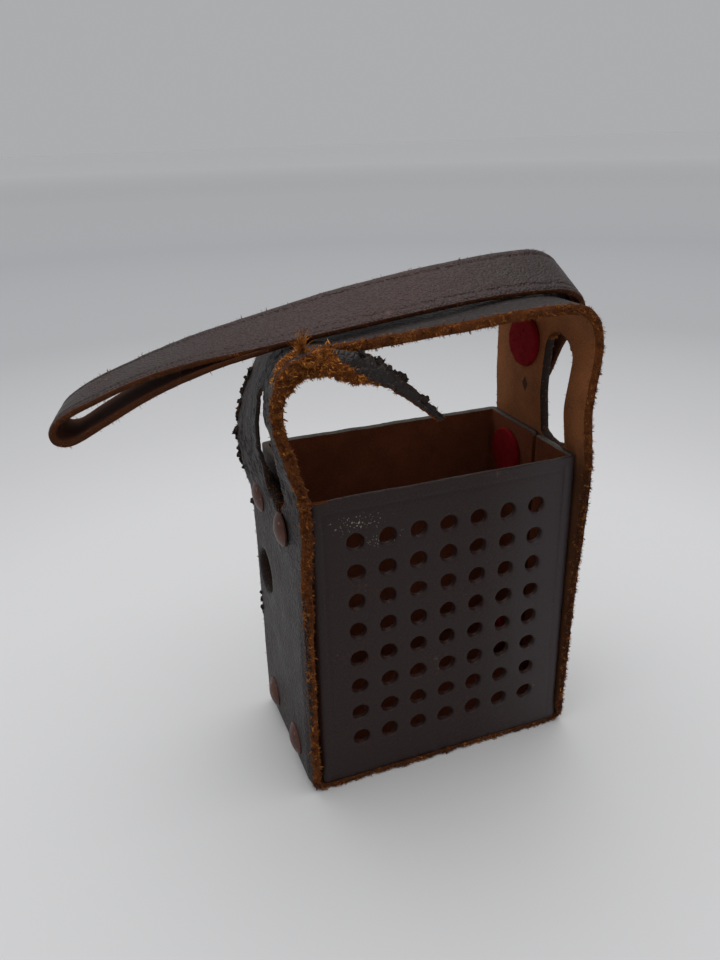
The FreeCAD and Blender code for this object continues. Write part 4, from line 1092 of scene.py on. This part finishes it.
def makeTongue():
    rows = smoothLine(tongueRows, tongue["step"] * rowStretch)
    shares = np.linspace(0, 1, tongue["columns"] + 1)
    grid, normals = ruledGrid(rows, shares)
    if normals[len(rows) // 2, 3, 1] > 0:
        normals *= -1
    flat, direction = grid.reshape(-1, 3), normals.reshape(-1, 3)
    # drying wrinkles run along the sliver
    along = np.repeat(np.arange(len(rows)), len(shares)) * tongue["step"]
    side = np.tile(shares, len(rows))
    ripple = np.stack([along / 5.0, side * 5.0, np.zeros(len(flat))], axis=1)
    ridge = np.maximum(1 - 2.4 * np.abs(wander(ripple * (1, 1.6, 1), 1.0, 41.0)), 0) ** 2
    folds = 0.34 * wander(ripple, 1.0, 21.0) + 0.12 * wander(flat, 0.9, 2.0)
    folds += 0.3 * ridge * ease(along, 14, 24)
    crown = 0.5 * (1 - (2 * side - 1) ** 2)
    ragged = 0.35 * wander(flat, 1.4, 31.0) * (np.abs(2 * side - 1) ** 3)
    grain = flat + direction * (folds * ease(along, 2, 9) + crown - 0.3)[:, None]
    grain[:, 2] += ragged
    thin = 1 - 0.55 * ease(along, 16, 38)
    back = grain - direction * (tongue["thick"] * thin)[:, None]
    faces = stripFaces(grain, direction, len(shares))
    lower = {tuple(np.round(grain[i * len(shares)], 4)) for i in range(len(rows))}

    def torn(points):
        # towards the root the grain is torn away and only fibre is left, most along the lower edge
        x, y, z = points.T
        height = z - np.interp(x, [-38, -33, -28, -22, -17], [103.0, 106.0, 105.6, 102.8, 100.4])
        edge = np.interp(x, [-40, -28.5, -26, -16.5], [9.0, 9.0, 3.2, 0.2]) + 0.9 * wander(points, 1.5, 12.0)
        return (height < edge) * (x < -15.5) * 1.0

    def crumbly(points):
        x, y, z = points.T
        upper = z - np.interp(x, [-25, -17, -13, -10, -6, -3], [106.6, 104.3, 101.8, 98.8, 95.2, 92.8])
        return (upper > 0) * ease(x, -24, -17) * (1 - ease(x, -7, -4))

    def rimOf(point):
        if tuple(np.round(point, 4)) in lower:
            return (2, 1.0) if point[0] < -17 else (2, 0.16)
        # the upper rim takes the dark edge colour: a dark cut edge, standing in here also as painted shade
        # below the strap
        return (2, 0.8) if point[0] < -32.5 else (3, 0.12)

    return leatherShell("tornSliver", grain, back, faces,
                        sheetOf(sliverLeather, "flesh", "rawEdge", "darkEdge"), rimOf, rimRows=5,
                        bulge=0.2, ragged=0.26, wearWidth=1.0, torn=torn, crumbly=crumbly)


tornSliver = makeTongue()
print("sliver made", len(tornSliver.data.polygons))


# ---- the wrist strap: one long strip, riveted at both ends, that folds back under itself

strap = {"thick": 1.27, "width": 15.0, "tilt": 27.5, "rivetY": 7.5, "rivetZ": 97.6, "outerX": 37.7,
         "splitX": 28.6, "rise": 22.5, "bend": 9.1, "bow": 2.3, "tab": 9.0, "tabRound": 5.0, "step": 0.6,
         "crease": 2.1, "creaseDepth": 0.2, "drop": 2.93, "nest": 2.6}
# the loop beyond the crown, as x, z at the front edge and x, z at the back edge of the grain face
upperRows = [
    (20, 114.3, 20, 120.8), (10, 113.9, 10, 119.9), (0, 113.0, 0, 118.8), (-10, 112.0, -10, 117.4),
    (-20, 110.9, -20, 115.8), (-30, 109.85, -30, 113.8), (-40, 108.8, -39, 112.0), (-50, 107.8, -48.5, 109.9),
    (-58, 106.6, -56.5, 107.7), (-65, 104.8, -63.5, 105.4), (-71, 102.7, -69.3, 103.2),
    (-75.6, 100.9, -73.4, 101.1), (-78.5, 99.2, -76.1, 98.9),
]
foldRows = [(-79.8, 97.0, -77.0, 96.6), (-79.3, 94.9, -76.4, 94.6), (-77.6, 93.9, -74.9, 93.8)]
lowerRows = [
    (-75.2, 94.0, -72.6, 94.0), (-70, 96.4, -68.5, 96.1), (-62, 100.2, -61, 99.7), (-54, 103.2, -53, 103.1),
    (-46, 105.4, -45.5, 106.4), (-38.5, 106.8, -38, 109.2),
]


def strapRows():
    tilt = math.radians(strap["tilt"])
    wide = np.array([0, math.cos(tilt), math.sin(tilt)])
    up = np.array([0, -math.sin(tilt), math.cos(tilt)])
    rivet = np.array([0, strap["rivetY"], strap["rivetZ"]])
    half = strap["width"] / 2
    bendHeight = strap["rise"] - strap["bend"]

    def row(x, height, frontHalf=half, backHalf=half):
        base = rivet + np.array([x, 0, 0]) + up * height
        return np.r_[base - wide * frontHalf, base + wide * backHalf]

    def shank(face, radius, setback):
        found = []
        for down in (0.0, 0.5, 1.4, 2.8, 4.2, 5.6, 8.0, 11.0, 15.0, 19.0, bendHeight + strap["tab"]):
            corner = strap["tabRound"]
            bite = corner - math.sqrt(corner**2 - max(corner - down, 0) ** 2)
            away = strap["bow"] * float(ease(down - strap["tab"], 4, 13))
            frontHalf = half - bite - setback * (down > 5)
            found.append(row(face + away, down - strap["tab"], frontHalf, half - bite))
        for turn in np.linspace(0, math.pi / 2, 8)[1:]:
            found.append(row(strap["splitX"] + (radius + strap["bow"]) * math.cos(turn),
                             bendHeight + radius * math.sin(turn), half - setback))
        return found

    rows = shank(strap["outerX"], strap["bend"], 0)
    frontY, backY = rows[-1][1], rows[-1][4]
    for xf, zf, xb, zb in upperRows + foldRows + lowerRows:
        rows.append(np.array([xf, frontY, zf, xb, backY, zb]))
    # from the torn corner on, the lower layer lies under the upper one, set back at the front
    for xf, zf, xb, zb in reversed(upperRows[:6]):
        step = np.array([xb - xf, backY - frontY, zb - zf])
        setback = 3.0 * float(ease(xf, -42, -28))
        front = np.array([xf, frontY, zf - strap["drop"]]) + step * setback / strap["width"]
        rows.append(np.r_[front, [xb, backY, zb - strap["drop"]]])
    return rows + shank(strap["outerX"] - strap["nest"], strap["bend"] - strap["nest"], 3.0)[::-1]


def makeStrap():
    rows = smoothLine(strapRows(), strap["step"] * rowStretch)
    width = strap["width"]
    # columns lie closest where the line is pressed along each edge
    marks = [0, 0.35, 0.8, 1.2, 1.55, 1.8, 2.0, 2.2, 2.45, 2.75, 3.3, 4.3, 5.3, 6.4, 7.5]
    marks += [width - m for m in marks[-2::-1]]
    shares = np.array(marks) / width
    grid, normals = ruledGrid(rows, shares)
    # the grain face of the upper layer looks up
    over = np.argmin(np.abs(rows[:, 0]) + (rows[:, 2] < 112.5) * 100)
    if normals[over, 12, 2] < 0:
        normals *= -1
    flat, direction = grid.reshape(-1, 3), normals.reshape(-1, 3)
    side = np.tile(shares * width, len(rows))
    crease = np.minimum(np.abs(side - strap["crease"]), np.abs(width - strap["crease"] - side))
    press = -strap["creaseDepth"] * (1 - ease(crease, 0.0, 0.75))
    fromEdge = np.minimum(side, width - side)
    press += -0.22 * (1 - ease(fromEdge, 0, 0.9))
    press += 0.07 * wander(flat, 5.0, 2.0) + 0.05 * wander(flat, 1.6, 6.0)
    # long slow waves along the loop
    route = flat * (1, 0, 0) * (flat[:, :1] < 25)
    wavy = 0.5 * wander(route, 24, 3)
    press += wavy * ease(-flat[:, 0], 30, 45) * 0.35
    # the leather swells round the rivet's cap
    near = np.hypot(flat[:, 1] - strap["rivetY"], flat[:, 2] - strap["rivetZ"])
    onOuter = flat[:, 0] > strap["outerX"] - 1
    press += 0.26 * np.exp(-((near / 6.0) ** 2)) * onOuter
    grain = flat + direction * press[:, None]
    back = flat - direction * strap["thick"]
    faces = stripFaces(grain, direction, len(shares))

    def rimOf(point):
        return 2, 0.9 if point[0] < -55 else 0.5

    return leatherShell("wristStrap", grain, back, faces,
                        sheetOf(strapLeather, "strapFlesh", "strapEdge", "darkEdge"), rimOf, rimRows=5,
                        bulge=0.1, ragged=0.16, wearWidth=0.9)


wristStrap = makeStrap()
print("strap made", len(wristStrap.data.polygons))


# ---- felt discs over the inner rivet heads

feltDisc = {"radius": 6.3, "round": 0.45, "turns": 48}


def makeFeltDisc(name, node, shift):
    low, high = nodeBox(node)
    middle = (low + high) / 2 + shift
    # the disc stands on the leather at the side away from the case's middle
    inward = -1 if middle[0] > 0 else 1
    wall = high[0] if inward < 0 else low[0]
    thick = high[0] - low[0]
    radius, soft = feltDisc["radius"], feltDisc["round"]
    profile = [(0.0, radius - 0.15), (thick * 0.35, radius + 0.05), (thick - soft, radius)]
    for turn in (0.3, 0.6, 0.85, 1.0):
        angle = turn * math.pi / 2
        profile.append((thick - soft + soft * math.sin(angle), radius - soft + soft * math.cos(angle)))
    profile += [(thick + 0.05, r) for r in (5.3, 4.5, 3.6, 2.7, 1.8, 0.9)]
    profile.append((thick, 0.0))
    points, faces = [], []
    turns = feltDisc["turns"]
    for height, r in profile[:-1]:
        for k in range(turns):
            angle = 2 * math.pi * k / turns
            points.append((wall + inward * height, middle[1] + r * math.cos(angle),
                           middle[2] + r * math.sin(angle)))
    points.append((wall + inward * profile[-1][0], middle[1], middle[2]))
    points.append((wall, middle[1], middle[2]))
    rings = len(profile) - 1
    for ring in range(rings - 1):
        for k in range(turns):
            a, b = ring * turns + k, ring * turns + (k + 1) % turns
            faces.append((a, b, b + turns, a + turns))
    for k in range(turns):
        last = (rings - 1) * turns
        faces.append((last + k, last + (k + 1) % turns, rings * turns))
        faces.append(((k + 1) % turns, k, rings * turns + 1))
    points = np.array(points)
    if inward > 0:
        faces = turnedOver(faces)
    onRim = faces[turns * 3]
    if looksAway(points, onRim, points[onRim[0]] - middle):
        faces = turnedOver(faces)
    lift = 0.09 * wander(points, 1.1, 3.0) + 0.12 * wander(points, 4.0, 5.0)
    lift[np.abs(points[:, 0] - wall) < 0.01] = 0
    points[:, 0] += inward * lift
    fuzz = np.where(np.abs(points[:, 0] - wall) < 0.3, 0.0, 1.0)
    return makePiece(name, points, faces, [felt], [0] * len(faces), {"fuzz": fuzz})


feltPieces = {}
# each disc was stuck on by hand, so it sits a little off its rivet
for node, shift in (("felt_disc_left_lower", (0, 0.5, 0.3)), ("felt_disc_left_upper", (0, -0.8, 0.4)),
                    ("felt_disc_right_lower", (0, 0.6, -0.2)), ("felt_disc_right_upper", (0, -1.5, 0.9)),
                    ("felt_disc_strap", (0, -0.6, 1.0))):
    words = node.split("_")
    name = "feltDisc" + "".join(word.capitalize() for word in words[2:])
    feltPieces[node] = makeFeltDisc(name, node, shift)
print("felt discs made")


# ---- fibres that the cut edges and the felt have shed

edgeFuzz = {"Field": "fuzz", "Density": 11e6, "Length": 0.62 * mm, "Thickness": 0.05 * mm, "Curl": 0.6 * mm,
            "Lean": 1.1, "Clumps": 900.0, "Seed": 11, "Material": orangeFibre}
strapFuzz = dict(edgeFuzz, Seed=31, Density=12e6, Length=0.42 * mm, Thickness=0.04 * mm, Curl=0.3 * mm,
                 Material=brownFibre)
feltFuzz = dict(edgeFuzz, Seed=41, Density=12e6, Length=0.3 * mm, Thickness=0.028 * mm, Curl=0.3 * mm,
                Material=redFibre, Lean=1.4)
crumbLook = {"Density": 1.7e6, "Size": 0.95 * mm, "Seed": 5, "Material": crumbDark}
shortFuzz = dict(edgeFuzz, Density=12e6, Length=0.42 * mm, Thickness=0.04 * mm)
longFuzz = dict(edgeFuzz, Density=0.25e6, Length=0.8 * mm, Thickness=0.028 * mm, Clumps=500.0)
toothFuzz = dict(edgeFuzz, Density=3.6e6, Length=0.5 * mm, Thickness=0.15 * mm, Curl=0.4 * mm, Lean=1.3,
                 Clumps=1100.0)
tornFuzz = dict(edgeFuzz, Density=22e6, Length=0.46 * mm, Material=brightFibre, Lean=1.2)


def paint(piece, key, weigh):
    # a value from 0 to 1 at every point of a piece
    setPoints(piece.data, key, weigh(np.array([v.co for v in piece.data.vertices]) / mm))


def tuftField(points):
    # one lock of fibre stands up where the sliver tore off
    return 1 - ease(np.linalg.norm(points - np.array([-32.2, -17.6, 109.2]), axis=1), 0.25, 0.8)


def shoulderField(points):
    # the freshest fibre shows round the torn corner
    return ease(-points[:, 0], 20, 30) * ease(points[:, 2], 99, 104) * (points[:, 1] < -14)


paint(tornSliver, "tuft", tuftField)
paint(carryBand, "tuft", tuftField)
paint(carryBand, "shoulder", lambda p: shoulderField(p) * np.array([
    a.value for a in carryBand.data.attributes["fuzz"].data]))
lock = dict(edgeFuzz, Field="tuft", Density=40e6, Length=2.2 * mm, Thickness=0.04 * mm, Curl=1.5 * mm,
            Lean=0.2, Clumps=200.0, Material=brightFibre)
grown = [grownMesh(f"bandFibres{k}", carryBand, fibreTree, dict(shortFuzz, Seed=11 + k)) for k in range(4)]
grown += [
    grownMesh("bandFibresLong", carryBand, fibreTree, longFuzz),
    grownMesh("bandTeeth", carryBand, fibreTree, dict(toothFuzz, Seed=51)),
    grownMesh("bandShoulderTeeth", carryBand, fibreTree, dict(toothFuzz, Field="shoulder", Seed=53,
              Length=0.7 * mm, Material=brightFibre)),
    grownMesh("sliverTeeth", tornSliver, fibreTree, dict(toothFuzz, Seed=52, Material=brightFibre)),
    grownMesh("bandShoulderFibres", carryBand, fibreTree, dict(tornFuzz, Field="shoulder", Seed=22,
              Density=9e6)),
    grownMesh("sliverFibres", tornSliver, fibreTree, dict(tornFuzz, Seed=23)),
    grownMesh("sliverFibresLong", tornSliver, fibreTree, dict(tornFuzz, Seed=24, Density=1e6,
              Length=0.85 * mm)),
    grownMesh("sliverLock", tornSliver, fibreTree, lock),
    grownMesh("bandLock", carryBand, fibreTree, dict(lock, Seed=7)),
    grownMesh("frontPanFibres", frontPan, fibreTree, dict(shortFuzz, Seed=25, Length=0.3 * mm)),
    grownMesh("bandCrumbs", carryBand, crumbTree, crumbLook),
    grownMesh("sliverCrumbs", tornSliver, crumbTree, dict(crumbLook, Seed=6, Density=2.0e6)),
]
strapFibres = grownMesh("strapFibres", wristStrap, fibreTree, strapFuzz)
print("fibres grown", *(len(o.data.polygons) for o in grown + [strapFibres]))


# ---- who moves with what, and what each piece stands for

for piece, nodes, finish in (
    (frontPan, ["front_pan"], "pan_leather"), (backPan, ["back_pan"], "pan_leather"),
    (carryBand, ["carry_band"], "band_leather"), (tornSliver, [], "band_leather"),
    *((piece, [], "band_leather") for piece in grown),
):
    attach(piece, "case")
    if nodes:
        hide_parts(*nodes)
for node, piece in feltPieces.items():
    fibres = grownMesh(piece.name + "Nap", piece, fibreTree, feltFuzz)
    for part in (piece, fibres):
        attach(part, "case")
    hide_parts(node)
for piece in (wristStrap, strapFibres):
    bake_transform(piece)
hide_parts("strap_root", "strap_loop")
for name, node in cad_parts.items():
    if "cap" in name or "post" in name:
        node.data.materials.clear()
        node.data.materials.append(capPaint if "cap" in name else copper)
print("pieces ride on their bodies")


# ---- floor, light and camera

# the floor's colour changes with the distance from the middle as painted light: darker from about a quarter
# of a metre to a metre out as painted shade, then paler, nearly white far off, to make up for the lamp's
# light falling away
stage = {"size": 12.0, "reach": 3.2, "paintedLightByDistance": [(0.0, "#CDCDCD"), (0.05, "#C9C9CA"), (0.08, "#BCBCBD"),
         (0.15, "#A6A7A9"), (0.3, "#ACADB0"), (0.55, "#D8DADB"), (1.0, "#FDFDFD")]}


def makeStage():
    mesh = bpy.data.meshes.new("floor")
    half = stage["size"] / 2
    corners = [(-half, -half, 0), (half, -half, 0), (half, half, 0), (-half, half, 0)]
    mesh.from_pydata(corners, [], [(0, 1, 2, 3)])
    material, tree, place = startMaterial("pale paper sweep")
    fade = mapRange(tree, vectors(tree, "LENGTH", place), high=stage["reach"])
    # painted light: the floor's shade is set by its distance from the middle
    shade = ramp(tree, fade, stage["paintedLightByDistance"])
    mesh.materials.append(endMaterial(material, tree, {"Base Color": shade, "Roughness": 0.6}))
    floor = addObject("floor", mesh)


def addLamp(name, energy, size, place, target):
    lamp = bpy.data.lights.new(name, "AREA")
    lamp.energy, lamp.shape, lamp.size = energy, "DISK", size
    holder = addObject(name, lamp)
    holder.location = place
    holder.rotation_euler = (Vector(target) - Vector(place)).to_track_quat("-Z", "Y").to_euler()


makeStage()
world = bpy.data.worlds.new("tent")
bpy.context.scene.world = world
world.use_nodes = True
world.node_tree.nodes["Background"].inputs["Color"].default_value = colour("#E0E1E3")
world.node_tree.nodes["Background"].inputs["Strength"].default_value = 0.55
addLamp("tentTop", 15.0, 2.0, (0.02, 0.12, 1.1), (0, 0, 0.06))

cameraPlace = {"at": (-74.0, -162.5, 148.6), "forward": (0.31354, 0.85926, -0.40418),
               "up": (0.16563, 0.36963, 0.91430), "lens": 30.34}
cameraData = bpy.data.cameras.new("camera")
cameraData.sensor_width, cameraData.lens = 36.0, cameraPlace["lens"]
cameraData.clip_start, cameraData.clip_end = 0.01, 20
camera = addObject("camera", cameraData)
look, up = Vector(cameraPlace["forward"]).normalized(), Vector(cameraPlace["up"]).normalized()
right = look.cross(up).normalized()
turned = Matrix((right, right.cross(look), -look)).transposed().to_4x4()
camera.matrix_world = Matrix.Translation(Vector(cameraPlace["at"]) * mm) @ turned
bpy.context.scene.camera = camera
bpy.context.scene.view_settings.view_transform = "Standard"
print("stage set")
